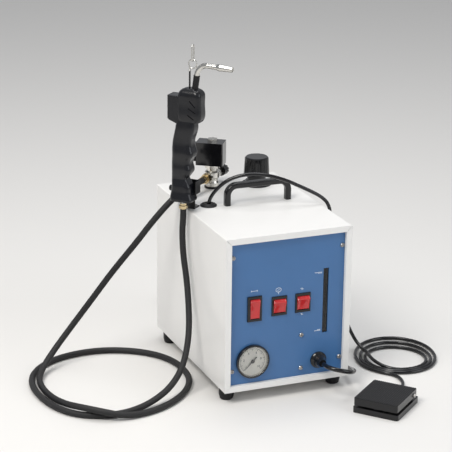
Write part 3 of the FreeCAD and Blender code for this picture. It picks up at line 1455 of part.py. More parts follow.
def head_loft(wall):
    """The head's smooth body, or its hollow when a wall is taken off."""
    outlines = []
    for z, middle, half_x, half_y, radius in HEAD_ROWS:
        outlines.append(rounded_outline(middle, half_x - wall, half_y - wall, radius - wall, z))
    return Part.makeLoft(outlines, True, False)


def spur_block(wall):
    """The squared block at the back of the head, its underside sloping up to the grip."""
    z0 = SPUR_Z0 + wall
    z1 = SPUR_Z1 - wall
    half = SPUR_W / 2 - wall
    x0 = SPUR_X0 + wall
    outline = (
        (SPUR_X1, -half, z0 - 8), (SPUR_X1 + 12, -half, z0 - 8), (SPUR_X1 + 12, -half, z1),
        (x0, -half, z1), (x0, -half, z0), (x0 + 4, -half, z0 - 3),
    )
    block = prism(outline, (0, 2 * half, 0))
    if wall:
        return block
    rims = []
    for edge in block.Edges:
        middle = edge.CenterOfMass
        if middle.x < SPUR_X1 - 2 and abs(abs(middle.y) - half) < 0.01 and middle.z > z0 - 1:
            rims.append(edge)
    return block.makeFillet(2.0, rims)


def handle_shells():
    """The two moulded halves of the gun's handle, split on its middle plane."""
    outside = fuse(grip_loft(0), head_loft(0), spur_block(0))
    hollow_z = HEAD_TOP - 9.0
    grip_hollow = grip_loft(GUN_WALL).common(box(-60, 60, -40, 40, GUN_FLOOR, 150))
    head_hollow = head_loft(GUN_WALL).common(box(-60, 60, -40, 40, 128, hollow_z))
    shell = outside.cut([grip_hollow, head_hollow, spur_block(GUN_WALL)])
    lance = swept(route_edges(LANCE_POINTS)[0], LANCE_R + LANCE_FIT)
    rod_hole = rod(ROD_R + LANCE_FIT, (ROD_X, 0, HEAD_TOP - ROD_SUNK), (ROD_X, 0, HEAD_TOP + 5))
    cuts = [lance, rod_hole]
    for start, end in GUN_VENTS:
        y = -HEAD_ROWS[2][3]
        run = V(end[0] - start[0], 0, end[1] - start[1])
        side = V(-run.z, 0, run.x).normalize() * (GUN_VENT_W / 2)
        a = V(start[0], y - 1, start[1])
        b = V(end[0], y - 1, end[1])
        corners = [tuple(a + side), tuple(b + side), tuple(b - side), tuple(a - side)]
        cuts.append(prism(corners, (0, 1 + GUN_VENT_DEPTH, 0)))
    shell = shell.cut(cuts)
    left = shell.common(box(-60, 90, -40, 0, -5, 200))
    right = shell.common(box(-60, 90, 0, 40, -5, 200))
    return on_gun(left), on_gun(right)


def steam_lance():
    """The bent steam tube that runs through the handle."""
    return on_gun(swept(route_edges(LANCE_POINTS)[0], LANCE_R))


def lance_way(first, last):
    """The unit direction between two of the lance's points."""
    return (V(*LANCE_POINTS[last]) - V(*LANCE_POINTS[first])).normalize()


def neck_sleeve():
    """The black heat sleeve on the lance above the handle."""
    way = lance_way(4, 5)
    low = V(*LANCE_POINTS[4]) + way * ((HEAD_TOP - 1.0 - LANCE_POINTS[4][2]) / way.z)
    high = low + way * SLEEVE_L
    sleeve = rod(SLEEVE_R, tuple(low), tuple(high))
    bore = rod(LANCE_R + LANCE_FIT, tuple(low - way), tuple(high + way))
    sleeve = sleeve.cut([bore, head_loft(0)])
    return on_gun(sleeve)


def nozzle_tip():
    """The chromed nozzle pushed on the lance's end."""
    way = lance_way(6, 7)
    base = V(*LANCE_POINTS[7]) - way * NOZZLE_SOCKET
    profile = (
        (LANCE_R + LANCE_FIT, 0), (LANCE_R + 0.5, 0), (NOZZLE_R - 0.3, 3.0), (NOZZLE_R, 5.5),
        (NOZZLE_R - 0.3, 9.0), (NOZZLE_TIP_R, NOZZLE_L), (NOZZLE_BORE_R + 1.0, NOZZLE_L),
        (NOZZLE_BORE_R, NOZZLE_L - 3), (NOZZLE_BORE_R, NOZZLE_SOCKET + 0.1),
        (LANCE_R + LANCE_FIT, NOZZLE_SOCKET + 0.1),
    )
    return on_gun(turned(profile, tuple(base), tuple(way)))


def hang_ring_bare():
    """The ring's wire, in the gun's frame, standing in its middle plane."""
    return Part.makeTorus(HANG_RING_R, HANG_WIRE_R, V(HANG_RING_X, 0, HANG_RING_Z), V(0, 1, 0))


def bead_spot():
    """Where the ring's bead sits on the rod."""
    return (ROD_X, 0, ROD_TOP - 5.5)


def hanger_ring():
    """The hanging ring with the bead that joins it to the rod."""
    ring_and_bead = fuse(hang_ring_bare(), ball(BEAD_R, bead_spot()), rod(HANG_WIRE_R, bead_spot(),
                         (ROD_X - 0.4, 0, HANG_RING_Z - 3)))
    return on_gun(ring_and_bead.cut(hanger_rod_bare()))


def hanger_rod_bare():
    """The rod that carries the ring, in the gun's frame."""
    return rod(ROD_R, (ROD_X, 0, HEAD_TOP - ROD_SUNK), bead_spot())


def hanger_rod():
    """The thin rod out of the top of the handle."""
    return on_gun(hanger_rod_bare())


def hanger_hook():
    """An upright wire link that hangs on the ring's top."""
    low = HANG_RING_Z + HANG_RING_R - HANG_WIRE_R - HOOK_GAP - HOOK_WIRE_R + HOOK_BEND_R
    high = low + HOOK_L
    r = HOOK_BEND_R
    x = HANG_RING_X
    edges = [
        Part.LineSegment(V(x, -r, low), V(x, -r, high)).toShape(),
        Part.Arc(V(x, -r, high), V(x, 0, high + r), V(x, r, high)).toShape(),
        Part.LineSegment(V(x, r, high), V(x, r, low)).toShape(),
        Part.Arc(V(x, r, low), V(x, 0, low - r), V(x, -r, low)).toShape(),
    ]
    parts = [swept([edge], HOOK_WIRE_R) for edge in edges]
    return on_gun(fuse(*parts))


def hose_nut():
    """The brass nut where the hose meets the lance."""
    bore = LANCE_R + LANCE_FIT
    profile = (
        (0, HOSE_NUT_Z0), (HOSE_NUT_R - 0.8, HOSE_NUT_Z0), (HOSE_NUT_R, HOSE_NUT_Z0 + 1.2),
        (HOSE_NUT_R, HOSE_NUT_Z1 - 3.5), (HOSE_NUT_R - 1.6, HOSE_NUT_Z1 - 3.0),
        (HOSE_NUT_R - 1.6, HOSE_NUT_Z1), (bore, HOSE_NUT_Z1), (bore, LANCE_POINTS[0][2]),
        (0, LANCE_POINTS[0][2]),
    )
    nut = turned(profile)
    flats = []
    for k in range(NUT_FLATS):
        angle = 2 * math.pi * k / NUT_FLATS
        flat = box(HOSE_NUT_R * 0.9, HOSE_NUT_R + 2, -8, 8, HOSE_NUT_Z0 - 1, HOSE_NUT_Z1 - 4.5)
        flat.rotate(V(0, 0, 0), V(0, 0, 1), math.degrees(angle))
        flats.append(flat)
    return on_gun(nut.cut(flats))


# Holder for the gun, in the gun's frame: its back plate is on the side away from the front


def holder_bracket():
    """A folded sheet: foot on the cabinet, back plate, slotted shelf and two arms."""
    foot_z = TOP_Z - GUN_AT[2]
    w = HOLDER_HALF_W
    y = HOLDER_Y
    parts = [box(-w, w, y, y + HOLDER_T, foot_z, HOLDER_TOP)]
    parts.append(box(-w, w, y, y + HOLDER_FOOT_L, foot_z, foot_z + HOLDER_T))
    parts.append(box(-SHELF_HALF_W, SHELF_HALF_W, -SHELF_REACH, y + HOLDER_T, -HOLDER_T, 0))
    parts.append(box(-ARM_X - HOLDER_T, ARM_X + HOLDER_T, y, y + HOLDER_T, ARM_Z0, HOLDER_TOP))
    for side in (-1, 1):
        x0, x1 = sorted((side * ARM_X, side * (ARM_X + HOLDER_T)))
        parts.append(box(x0, x1, ARM_Y0, y + HOLDER_T, ARM_Z0, HOLDER_TOP))
    bracket = fuse(*parts)
    slot = box(-SHELF_SLOT_R, SHELF_SLOT_R, -SHELF_REACH - 1, 0, -HOLDER_T - 1, 1)
    end = rod(SHELF_SLOT_R, (0, 0, -HOLDER_T - 1), (0, 0, 1))
    screw_r = SCREW_R + SCREW_FIT
    cuts = [slot, end]
    for x in (-HOLDER_SCREW_X, HOLDER_SCREW_X):
        cuts.append(rod(screw_r, (x, HOLDER_SCREW_Y, foot_z - 1), (x, HOLDER_SCREW_Y, foot_z + 5)))
    shank = THUMB_SHANK_R + THUMB_FIT
    cuts.append(rod(shank, (-ARM_X - HOLDER_T - 1, THUMB_Y, THUMB_Z), (1 - ARM_X, THUMB_Y, THUMB_Z)))
    bracket = on_gun(bracket.cut(cuts))
    edge = -SIDE_X + HOLDER_EDGE_GAP
    overhang = box(-SIDE_X - 60, edge, -200, 200, TOP_Z - 1, TOP_Z + HOLDER_T + 0.01)
    return bracket.cut(overhang)


def holder_thumbscrew():
    """A small knob that pinches the gun's butt in its holder."""
    outer = -ARM_X - HOLDER_T
    at = (outer - 0.2, THUMB_Y, THUMB_Z)
    profile = (
        (0, -HOLDER_T - THUMB_SHANK_L + 1.4), (THUMB_SHANK_R, -HOLDER_T - THUMB_SHANK_L + 1.4),
        (THUMB_SHANK_R, 0), (THUMB_R * 0.7, 0), (THUMB_R, 1.2), (THUMB_R, THUMB_L - 1),
        (THUMB_R - 1, THUMB_L),
        (0, THUMB_L),
    )
    return on_gun(turned(profile, at, (-1, 0, 0)))


# Foot pedal, in its own frame: X from its front to its rear, where the lead comes in


def on_pedal(shape):
    """A shape of the pedal's own frame in the cabinet's frame."""
    return placed(shape, PEDAL_AT, PEDAL_YAW)


def lead_hole(radius):
    """The lead's hole into the rear of the pedal base."""
    rear = PEDAL_BASE_L / 2
    return rod(radius, (rear - PEDAL_LEAD_IN, 0, PEDAL_LEAD_Z), (rear + 1, 0, PEDAL_LEAD_Z))


def pedal_base():
    """The pedal's base with two lugs for its hinge pin and a hole for the lead."""
    half_l = PEDAL_BASE_L / 2
    half_w = PEDAL_BASE_W / 2
    slab = rounded_block(-half_l, half_l, -half_w, half_w, 0, PEDAL_BASE_H, PEDAL_CORNER_R)
    parts = [slab]
    lug_y = PLATE_W / 2 - PLATE_SKIRT_T - LUG_GAP
    for side in (-1, 1):
        y0, y1 = sorted((side * lug_y, side * (lug_y - LUG_W)))
        parts.append(box(PIN_X - LUG_L / 2, PIN_X + LUG_L / 2, y0, y1, PEDAL_BASE_H - 1, PIN_Z))
        parts.append(rod(LUG_L / 2, (PIN_X, y0, PIN_Z), (PIN_X, y1, PIN_Z)))
    pin = rod(PIN_R + PIN_FIT, (PIN_X, -half_w, PIN_Z), (PIN_X, half_w, PIN_Z))
    return on_pedal(fuse(*parts).cut([pin, lead_hole(PEDAL_LEAD_R + PIN_FIT)]))


def pedal_plate():
    """The ribbed treadle: a top with skirts all round, hinged near its rear."""
    x0 = -PEDAL_BASE_L / 2
    x1 = x0 + PLATE_L
    half = PLATE_W / 2
    outer = rounded_block(x0, x1, -half, half, PLATE_BOTTOM, PLATE_TOP, PEDAL_CORNER_R - 1)
    t = PLATE_SKIRT_T
    room = box(x0 + t, x1 - t, -half + t, half - t, PLATE_BOTTOM - 1, PLATE_TOP - PLATE_T)
    rear_gap = box(x1 - t - 1, x1 + 1, -half + t, half - t, PLATE_BOTTOM - 1, PIN_Z)
    pitch = (PLATE_W - 2) / RIB_COUNT
    ribs = []
    for k in range(RIB_COUNT):
        y = (k - (RIB_COUNT - 1) / 2) * pitch
        w = pitch * RIB_SHARE / 2
        ribs.append(box(x0 + 1, x1 - 1, y - w, y + w, PLATE_TOP - 0.5, PLATE_TOP + RIB_H))
    pin = rod(PIN_R + PIN_FIT, (PIN_X, -half - 1, PIN_Z), (PIN_X, half + 1, PIN_Z))
    return on_pedal(fuse(outer, *ribs).cut([room, rear_gap, pin]))


def pedal_pin():
    """The hinge pin with a head at each end."""
    half = PLATE_W / 2 + 0.4
    shaft = rod(PIN_R, (PIN_X, -half - 0.1, PIN_Z), (PIN_X, half + 0.1, PIN_Z))
    heads = [rod(PIN_HEAD_R, (PIN_X, side * half, PIN_Z), (PIN_X, side * (half + PIN_HEAD_T), PIN_Z))
             for side in (-1, 1)]
    return on_pedal(fuse(shaft, *heads))


def spring_curve(angle):
    """The return spring's helix, in the pedal's frame."""
    low = PEDAL_BASE_H + SPRING_END_GAP + SPRING_WIRE_R
    high = PLATE_TOP - PLATE_T - SPRING_END_GAP - SPRING_WIRE_R
    z = low + (high - low) * angle / (2 * math.pi * SPRING_TURNS)
    return V(SPRING_X + SPRING_R * math.cos(angle), SPRING_R * math.sin(angle), z)


def pedal_spring():
    """The wire spring under the treadle."""
    return on_pedal(wound_tube("pedal spring", spring_curve, 2 * math.pi * SPRING_TURNS, SPRING_WIRE_R))


def pedal_switch():
    """The snap switch on the base, with its button."""
    top = PEDAL_BASE_H + MICRO_H
    body = box(MICRO_X - MICRO_L / 2, MICRO_X + MICRO_L / 2, -MICRO_W / 2, MICRO_W / 2, PEDAL_BASE_H, top)
    button = rod(MICRO_BUTTON_R, (MICRO_X + 4, 0, top - 1), (MICRO_X + 4, 0, top + MICRO_BUTTON_H))
    return on_pedal(fuse(body, button))


# Cords


def hose_route():
    """The steam hose: out of the ferrule, the listed points, up into the gun's nut."""
    first = outlet_point(OUTLET_L + HEX_L + FERRULE_L, VALVE_PORT_H)
    last = (GUN_AT[0], GUN_AT[1], GUN_AT[2] + HOSE_NUT_Z0)
    return [first, *HOSE_POINTS, last]


def steam_hose():
    """The braided steam hose."""
    return tube("steam hose", hose_route(), HOSE_R)


def pedal_coil_curve(angle):
    """The pedal lead's loose coil: it grows each turn, fans out at the back and drops to the floor."""
    at = angle + math.radians(PEDAL_COIL_FROM_DEG)
    turn = at / (2 * math.pi)
    back = ((1 - math.sin(at)) / 2) ** 4
    radius = PEDAL_COIL_R + PEDAL_COIL_GROW * turn + PEDAL_COIL_FAN * back * (turn - 0.75)
    share = min(angle / math.radians(PEDAL_COIL_DROP_DEG), 1.0)
    floor_z = PEDAL_LEAD_R + 0.1
    z = floor_z + (PEDAL_COIL_HIGH_Z - floor_z) * (1 + math.cos(math.pi * share)) / 2
    flat = V(-radius * math.cos(at), -radius * math.sin(at), z)
    return place_point(flat, (*PEDAL_COIL_AT, 0), PEDAL_COIL_YAW)


def pedal_coil_last():
    """The angle at which the loose coil ends."""
    return 2 * math.pi * PEDAL_COIL_TURNS


def pedal_lead_routes():
    """The lead from the cabinet to its coil, and from the coil into the pedal."""
    into, out = ends_of(pedal_coil_curve, pedal_coil_last(), PEDAL_LEAD_R)
    start_way = direction(pedal_coil_curve, 0)
    last_way = direction(pedal_coil_curve, pedal_coil_last())
    first = (GROMMET_X, GROMMET_Y, SHEET_Z)
    above = [first, *PEDAL_LEAD_TOP, tuple(into - start_way * 14.0), tuple(into)]
    rear = PEDAL_BASE_L / 2
    entry = place_point((rear + 5.0, 0, PEDAL_LEAD_Z), PEDAL_AT, PEDAL_YAW)
    inside = place_point((rear - PEDAL_LEAD_IN + 0.5, 0, PEDAL_LEAD_Z), PEDAL_AT, PEDAL_YAW)
    beside = [tuple(out), tuple(out + last_way * 9.0), *PEDAL_LEAD_FLOOR, tuple(entry), tuple(inside)]
    return above, beside


def pedal_cord():
    """The pedal lead's two free stretches."""
    above, beside = pedal_lead_routes()
    return [tube("pedal lead, upper stretch", above, PEDAL_LEAD_R),
            tube("pedal lead, floor stretch", beside, PEDAL_LEAD_R)]


def pedal_cord_coil():
    """The pedal lead's loose coil."""
    return wound_tube("pedal lead coil", pedal_coil_curve, pedal_coil_last(), PEDAL_LEAD_R)


def mains_coil_curve(angle):
    """The tied mains coil: it spirals in, climbs a layer in the innermost half turn, spirals out."""
    middle = math.pi * MAINS_COIL_TURNS
    inner = MAINS_COIL_R - MAINS_COIL_STEP * MAINS_COIL_TURNS / 2
    radius = inner + MAINS_COIL_STEP * abs(angle - middle) / (2 * math.pi)
    climb = min(max((angle - middle + math.pi / 2) / math.pi, 0.0), 1.0)
    z = MAINS_COIL_Z + MAINS_COIL_STEP * climb
    return V(MAINS_COIL_AT[0] + radius * math.cos(angle), MAINS_COIL_AT[1] + radius * math.sin(angle), z)


def mains_coil_last():
    """The angle at which the mains coil ends."""
    return 2 * math.pi * MAINS_COIL_TURNS


def mains_routes():
    """The mains lead from its gland to the coil, and from the coil to its plug."""
    into, out = ends_of(mains_coil_curve, mains_coil_last(), MAINS_R)
    start_way = direction(mains_coil_curve, 0)
    last_way = direction(mains_coil_curve, mains_coil_last())
    first = (GLAND_X, PANEL_Y - GLAND_L, GLAND_Z)
    to_coil = [first, *MAINS_POINTS, tuple(into - start_way * 16.0), tuple(into)]
    to_plug = [tuple(out), tuple(out + last_way * 7.0), *PLUG_LEAD, PLUG_AT]
    return to_coil, to_plug


def mains_cord():
    """The mains lead's two free stretches."""
    to_coil, to_plug = mains_routes()
    return [tube("mains lead, to its coil", to_coil, MAINS_R),
            tube("mains lead, to its plug", to_plug, MAINS_R)]


def mains_cord_coil():
    """The mains lead's tied coil."""
    return wound_tube("mains lead coil", mains_coil_curve, mains_coil_last(), MAINS_R)


def cord_tie():
    """A strap round the tied coil's turns."""
    turns = math.ceil(MAINS_COIL_TURNS / 2)
    outer = MAINS_COIL_R + MAINS_R + TIE_GAP
    inner = MAINS_COIL_R - MAINS_COIL_STEP * turns - MAINS_R - TIE_GAP
    low = MAINS_COIL_Z - MAINS_R - TIE_GAP
    high = MAINS_COIL_Z + MAINS_COIL_STEP + MAINS_R + TIE_GAP
    half = TIE_W / 2
    strap = box(inner - TIE_T, outer + TIE_T, -half, half, low - TIE_T, high + TIE_T)
    room = box(inner, outer, -half - 1, half + 1, low, high)
    return placed(strap.cut(room), (*MAINS_COIL_AT, 0), TIE_DEG)


def mains_plug():
    """A round two-pin mains plug lying on its side."""
    axis = V(-1, 0, 0)
    profile = (
        (0, 0), (MAINS_R + 0.9, 0), (PLUG_RELIEF_R, PLUG_RELIEF_L), (PLUG_BODY_R - 4, PLUG_RELIEF_L + 5),
        (PLUG_BODY_R, PLUG_RELIEF_L + 11), (PLUG_BODY_R, PLUG_RELIEF_L + PLUG_BODY_L - 4),
        (PLUG_FACE_R, PLUG_RELIEF_L + PLUG_BODY_L), (0, PLUG_RELIEF_L + PLUG_BODY_L),
    )
    body = turned(profile, PLUG_AT, tuple(axis))
    face_x = PLUG_AT[0] - PLUG_RELIEF_L - PLUG_BODY_L
    prongs = []
    for side in (-1, 1):
        y = PLUG_AT[1] + side * PRONG_PITCH / 2
        prongs.append(rod(PRONG_R, (face_x + 2, y, PLUG_AT[2]), (face_x - PRONG_L, y, PLUG_AT[2])))
        prongs.append(ball(PRONG_R, (face_x - PRONG_L, y, PLUG_AT[2])))
    return fuse(body, *prongs)


os.makedirs("parts", exist_ok=True)

save("case_cover", case_cover())
save("base_tray", base_tray())
save("front_panel", front_panel())
save("rear_panel", rear_panel())
save("case_screws", *case_screws())
save("case_feet", *case_feet())
save("carry_handle", carry_handle())
save("cord_grommet", cord_grommet())
save("filler_ring", filler_ring())
save("boiler_cap", boiler_cap())
save("cap_plug", cap_plug())
save("boiler_tank", boiler_tank())
save("heating_element", heating_element())
save("pressure_switch", pressure_switch())
save("boiler_pipes", *boiler_pipes())
save("sight_tube", sight_tube())
save("sight_fittings", *sight_fittings())
save("level_window", level_window())
save("gauge_case", gauge_case())
save("gauge_dial", gauge_dial())
save("gauge_pointer", gauge_pointer())
save("gauge_lens", gauge_lens())
for label, switch in SWITCHES.items():
    save(label + "_housing", switch_housing(switch))
    save(label + "_rocker", switch_rocker(switch))
save("cord_gland", *cord_gland())
save("valve_gasket", valve_gasket())
save("valve_body", valve_body())
save("valve_plunger", valve_plunger())
save("valve_coil", valve_coil())
save("coil_nut", coil_nut())
save("valve_plug", valve_plug())
save("flow_knob", flow_knob())
save("hose_fitting", hose_fitting())
left_shell, right_shell = handle_shells()
save("handle_shell_left", left_shell)
save("handle_shell_right", right_shell)
save("steam_lance", steam_lance())
save("neck_sleeve", neck_sleeve())
save("nozzle_tip", nozzle_tip())
save("hanger_rod", hanger_rod())
save("hanger_ring", hanger_ring())
save("hanger_hook", hanger_hook())
save("hose_nut", hose_nut())
save("holder_bracket", holder_bracket())
save("holder_thumbscrew", holder_thumbscrew())
save("pedal_base", pedal_base())
save("pedal_plate", pedal_plate())
save("pedal_pin", pedal_pin())
save("pedal_spring", pedal_spring())
save("pedal_switch", pedal_switch())
save("steam_hose", steam_hose())
save("pedal_cord", *pedal_cord())
save("pedal_cord_coil", pedal_cord_coil())
save("mains_cord", *mains_cord())
save("mains_cord_coil", mains_cord_coil())
save("cord_tie", cord_tie())
save("mains_plug", mains_plug())
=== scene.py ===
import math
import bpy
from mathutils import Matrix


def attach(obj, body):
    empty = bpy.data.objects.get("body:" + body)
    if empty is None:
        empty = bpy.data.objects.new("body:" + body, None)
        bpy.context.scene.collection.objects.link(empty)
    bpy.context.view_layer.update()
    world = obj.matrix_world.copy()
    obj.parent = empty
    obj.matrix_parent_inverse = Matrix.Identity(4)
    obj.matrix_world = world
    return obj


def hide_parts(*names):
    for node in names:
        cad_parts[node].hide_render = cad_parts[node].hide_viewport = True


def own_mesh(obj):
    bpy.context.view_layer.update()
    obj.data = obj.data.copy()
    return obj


bl_info = {
    "name": "Steam Cleaner Dressing",
    "version": (1, 0, 0),
    "blender": (4, 5, 0),
    "location": "View3D > Sidebar > Steam Cleaner",
    "description": "Finishes, leads, dial and stage for the bench steam cleaner",
    "category": "Object",
}

import bmesh
import bpy
import numpy as np
from mathutils import Matrix, Vector

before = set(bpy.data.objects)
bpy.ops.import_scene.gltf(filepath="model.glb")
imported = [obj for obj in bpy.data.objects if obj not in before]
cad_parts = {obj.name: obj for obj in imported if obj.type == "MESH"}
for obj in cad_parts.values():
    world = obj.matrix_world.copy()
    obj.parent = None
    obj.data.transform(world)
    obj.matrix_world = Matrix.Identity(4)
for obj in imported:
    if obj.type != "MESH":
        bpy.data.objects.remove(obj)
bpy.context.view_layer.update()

MM = 0.001

# Where the pieces stand, in millimetres, as in the part's source
PANEL_Y = -146.5
GAUGE_X, GAUGE_Z = -57.2, 65.9
PEDAL_AT = np.array([127.0, -243.5, 0.0])
PEDAL_YAW = math.radians(41.0)
SPRING_X, SPRING_R, SPRING_WIRE_R = -12.0, 5.5, 0.6
SPRING_LOW_Z, SPRING_HIGH_Z = 9.7, 20.5
PEDAL_COIL_AT, PEDAL_COIL_YAW = (229.0, -80.5), math.radians(-22.2)
MAINS_COIL_AT, MAINS_COIL_STEP = (70.0, 232.0), 7.8
# A spline of order three runs inside its points, so a coil's points stand this much further out
SPLINE_WIDER = 1.0196
CAMERA_AT = (-1.10146, -2.59213, 1.17072)
# x, z, front face y, pivot depth, rocker width, drum radius, half angle, rest tilt
ROCKERS = {
    "mains_switch": (-55.2, 151.9, -149.5, 3.9, 14.5, 16.6, 67.2, 5.65),
    "heater_switch": (-13.7, 151.5, -148.7, 4.3, 19.2, 12.0, 52.7, 14.3),
    "steam_switch": (26.0, 151.9, -148.7, 4.3, 19.2, 12.0, 52.7, 14.3),
}

# The hose and the leads: the same points as the part's source
HOSE_ROUTE = (
    (-51.74, 85.15, 290.0), (-66.0, 73.1, 290.0), (-92.0, 53.0, 291.0), (-122.0, 37.0, 280.0),
    (-152.0, 41.0, 247.0), (-177.0, 52.0, 209.0), (-210.0, 70.0, 160.0), (-241.0, 84.0, 111.0),
    (-273.0, 91.0, 67.0), (-303.0, 85.0, 35.0), (-331.0, 64.0, 14.0), (-348.0, 34.0, 6.0),
    (-352.0, -4.0, 5.2), (-348.0, -44.0, 6.0), (-340.0, -82.0, 11.0), (-328.0, -112.0, 16.5),
    (-302.0, -139.0, 16.5), (-270.0, -149.0, 8.0), (-236.0, -147.0, 5.2), (-202.0, -136.0, 5.2),
    (-170.0, -115.0, 5.2), (-142.0, -86.0, 5.2), (-122.0, -48.0, 5.2), (-116.0, -6.0, 5.2),
    (-121.0, 38.0, 5.2), (-143.0, 77.0, 5.2), (-180.0, 105.0, 5.2), (-222.0, 119.0, 5.2),
    (-264.0, 118.0, 5.2), (-301.0, 106.0, 5.2), (-333.0, 82.0, 5.2), (-355.0, 50.0, 5.2),
    (-365.0, 10.0, 5.2), (-364.0, -34.0, 5.2), (-355.0, -76.0, 5.2), (-335.0, -111.0, 5.2),
    (-303.0, -131.0, 5.2), (-268.0, -135.0, 5.2), (-236.0, -128.0, 6.0), (-205.0, -118.0, 12.0),
    (-176.0, -106.0, 24.0), (-153.0, -91.0, 43.0), (-138.0, -75.0, 68.0), (-127.0, -56.0, 97.0),
    (-121.0, -37.0, 130.0), (-118.0, -20.0, 165.0), (-119.0, -7.0, 201.0), (-118.0, 1.0, 236.0),
    (-115.0, 3.9, 261.0), (-115.0, 3.9, 274.5),
)
PEDAL_LEAD_DOWN = (
    (-67.4, 16.7, 268.8), (-67.0, 16.5, 277.0), (-62.5, 14.4, 288.0), (-54.0, 10.5, 300.0),
    (-41.5, 5.4, 312.0), (-22.4, -3.0, 321.0), (0.0, -11.4, 323.5), (22.6, -19.2, 320.5),
    (46.0, -26.0, 313.0), (69.5, -31.8, 301.5), (88.0, -35.6, 292.0), (102.5, -38.0, 283.5),
    (113.5, -39.2, 273.5), (119.5, -39.0, 260.0), (121.0, -37.0, 244.0), (122.0, -32.0, 220.0),
    (128.0, -21.0, 182.0), (144.0, -6.5, 132.0), (160.5, 2.5, 88.0), (170.5, 2.0, 58.0),
    (176.5, -7.0, 36.0), (180.8, -22.0, 20.5), (184.2, -38.0, 12.6), (187.6, -55.3, 9.6),
)
PEDAL_LEAD_ON = (
    (191.1, -136.4, 3.0), (196.0, -149.0, 3.0), (195.7, -163.5, 3.0), (190.5, -178.5, 3.0),
    (182.0, -192.5, 3.4), (172.5, -204.0, 4.4), (163.2, -212.0, 5.0), (155.3, -218.9, 5.0),
)
MAINS_LEAD_TO_COIL = (
    (55.0, -164.5, 52.0), (55.0, -174.0, 52.2), (57.0, -183.6, 52.2), (62.6, -191.3, 51.6),
    (70.9, -196.1, 50.0), (80.4, -197.1, 47.4), (89.5, -194.1, 44.2), (96.8, -187.2, 40.6),
    (103.5, -177.0, 36.4), (110.0, -164.0, 31.5), (115.5, -147.0, 26.0), (119.6, -125.0, 19.5),
    (121.6, -97.0, 12.8), (120.5, -60.0, 7.4), (122.5, -14.0, 4.2), (119.5, 42.0, 3.7),
    (121.5, 98.0, 3.7), (120.3, 152.0, 3.8), (121.6, 186.0, 4.3), (121.6, 208.8, 5.2),
)
MAINS_LEAD_TO_PLUG = (
    (55.8, 283.4, 13.1), (47.0, 283.9, 14.8), (37.5, 284.6, 17.4), (27.0, 285.0, 19.2),
)


class CleanerLook(bpy.types.PropertyGroup):
    """The colours and sizes of the dressing that can be set by hand."""

    cover_colour: bpy.props.FloatVectorProperty(
        name="Cover", description="Paint of the cover, tray and rear panel", subtype="COLOR",
        size=3, min=0.0, max=1.0, default=(0.79, 0.785, 0.77))
    panel_colour: bpy.props.FloatVectorProperty(
        name="Front panel", description="Paint of the front panel", subtype="COLOR",
        size=3, min=0.0, max=1.0, default=(0.045, 0.145, 0.34))
    rocker_colour: bpy.props.FloatVectorProperty(
        name="Rockers", description="Plastic of the switch rockers", subtype="COLOR",
        size=3, min=0.0, max=1.0, default=(0.52, 0.028, 0.03))
    plastic_colour: bpy.props.FloatVectorProperty(
        name="Black plastic", description="Moulded handles, knobs and bezels", subtype="COLOR",
        size=3, min=0.0, max=1.0, default=(0.0045, 0.0047, 0.0055))
    dial_colour: bpy.props.FloatVectorProperty(
        name="Dial", description="Paint of the gauge dial", subtype="COLOR",
        size=3, min=0.0, max=1.0, default=(0.93, 0.90, 0.83))
    ink_colour: bpy.props.FloatVectorProperty(
        name="Panel ink", description="Printed marks of the front panel", subtype="COLOR",
        size=3, min=0.0, max=1.0, default=(0.72, 0.78, 0.84))
    floor_colour: bpy.props.FloatVectorProperty(
        name="Floor", description="Colour of the studio floor", subtype="COLOR",
        size=3, min=0.0, max=1.0, default=(0.74, 0.73, 0.71))
    hose_radius: bpy.props.FloatProperty(
        name="Hose radius", description="Outside radius of the steam hose", subtype="DISTANCE",
        unit="LENGTH", min=0.002, max=0.02, default=0.005)
    pedal_lead_radius: bpy.props.FloatProperty(
        name="Pedal lead radius", description="Outside radius of the pedal lead", subtype="DISTANCE",
        unit="LENGTH", min=0.001, max=0.01, default=0.0029)
    mains_lead_radius: bpy.props.FloatProperty(
        name="Mains lead radius", description="Outside radius of the mains lead", subtype="DISTANCE",
        unit="LENGTH", min=0.001, max=0.01, default=0.0036)
    ink_height: bpy.props.FloatProperty(
        name="Ink height", description="How far a printed mark stands off its face", subtype="DISTANCE",
        unit="LENGTH", min=0.00001, max=0.001, default=0.00006)
    camera_azimuth: bpy.props.FloatProperty(
        name="Camera azimuth", description="Angle of the camera round the cabinet", subtype="ANGLE",
        unit="ROTATION", default=math.radians(-22.196))
    camera_elevation: bpy.props.FloatProperty(
        name="Camera elevation", description="Angle of the camera over the floor", subtype="ANGLE",
        unit="ROTATION", default=math.radians(18.42))
    camera_roll: bpy.props.FloatProperty(
        name="Camera roll", description="Tilt of the camera about its own axis", subtype="ANGLE",
        unit="ROTATION", default=math.radians(0.666))
    camera_lens: bpy.props.FloatProperty(
        name="Camera lens", description="Focal length in millimetres", min=20.0, max=400.0, default=147.9)


# Node helpers


def look():
    """The settings of the dressing."""
    return bpy.context.scene.steam_cleaner


def add_node(tree, kind, at, **values):
    """A node of a tree, with properties or plain socket values set by name."""
    node = tree.nodes.new(kind)
    node.location = at
    for key, value in values.items():
        if key in node.inputs:
            node.inputs[key].default_value = value
        else:
            setattr(node, key, value)
    return node


def open_group(name, inputs, outputs):
    """A new shader node group with named sockets: (name, kind, default)."""
    group = bpy.data.node_groups.new(name, "ShaderNodeTree")
    for label, kind, default in inputs:
        socket = group.interface.new_socket(name=label, in_out="INPUT", socket_type=kind)
        socket.default_value = default
    for label, kind in outputs:
        group.interface.new_socket(name=label, in_out="OUTPUT", socket_type=kind)
    way_in = group.nodes.new("NodeGroupInput")
    way_in.location = (-900, 0)
    way_out = group.nodes.new("NodeGroupOutput")
    way_out.location = (700, 0)
    return group, way_in, way_out


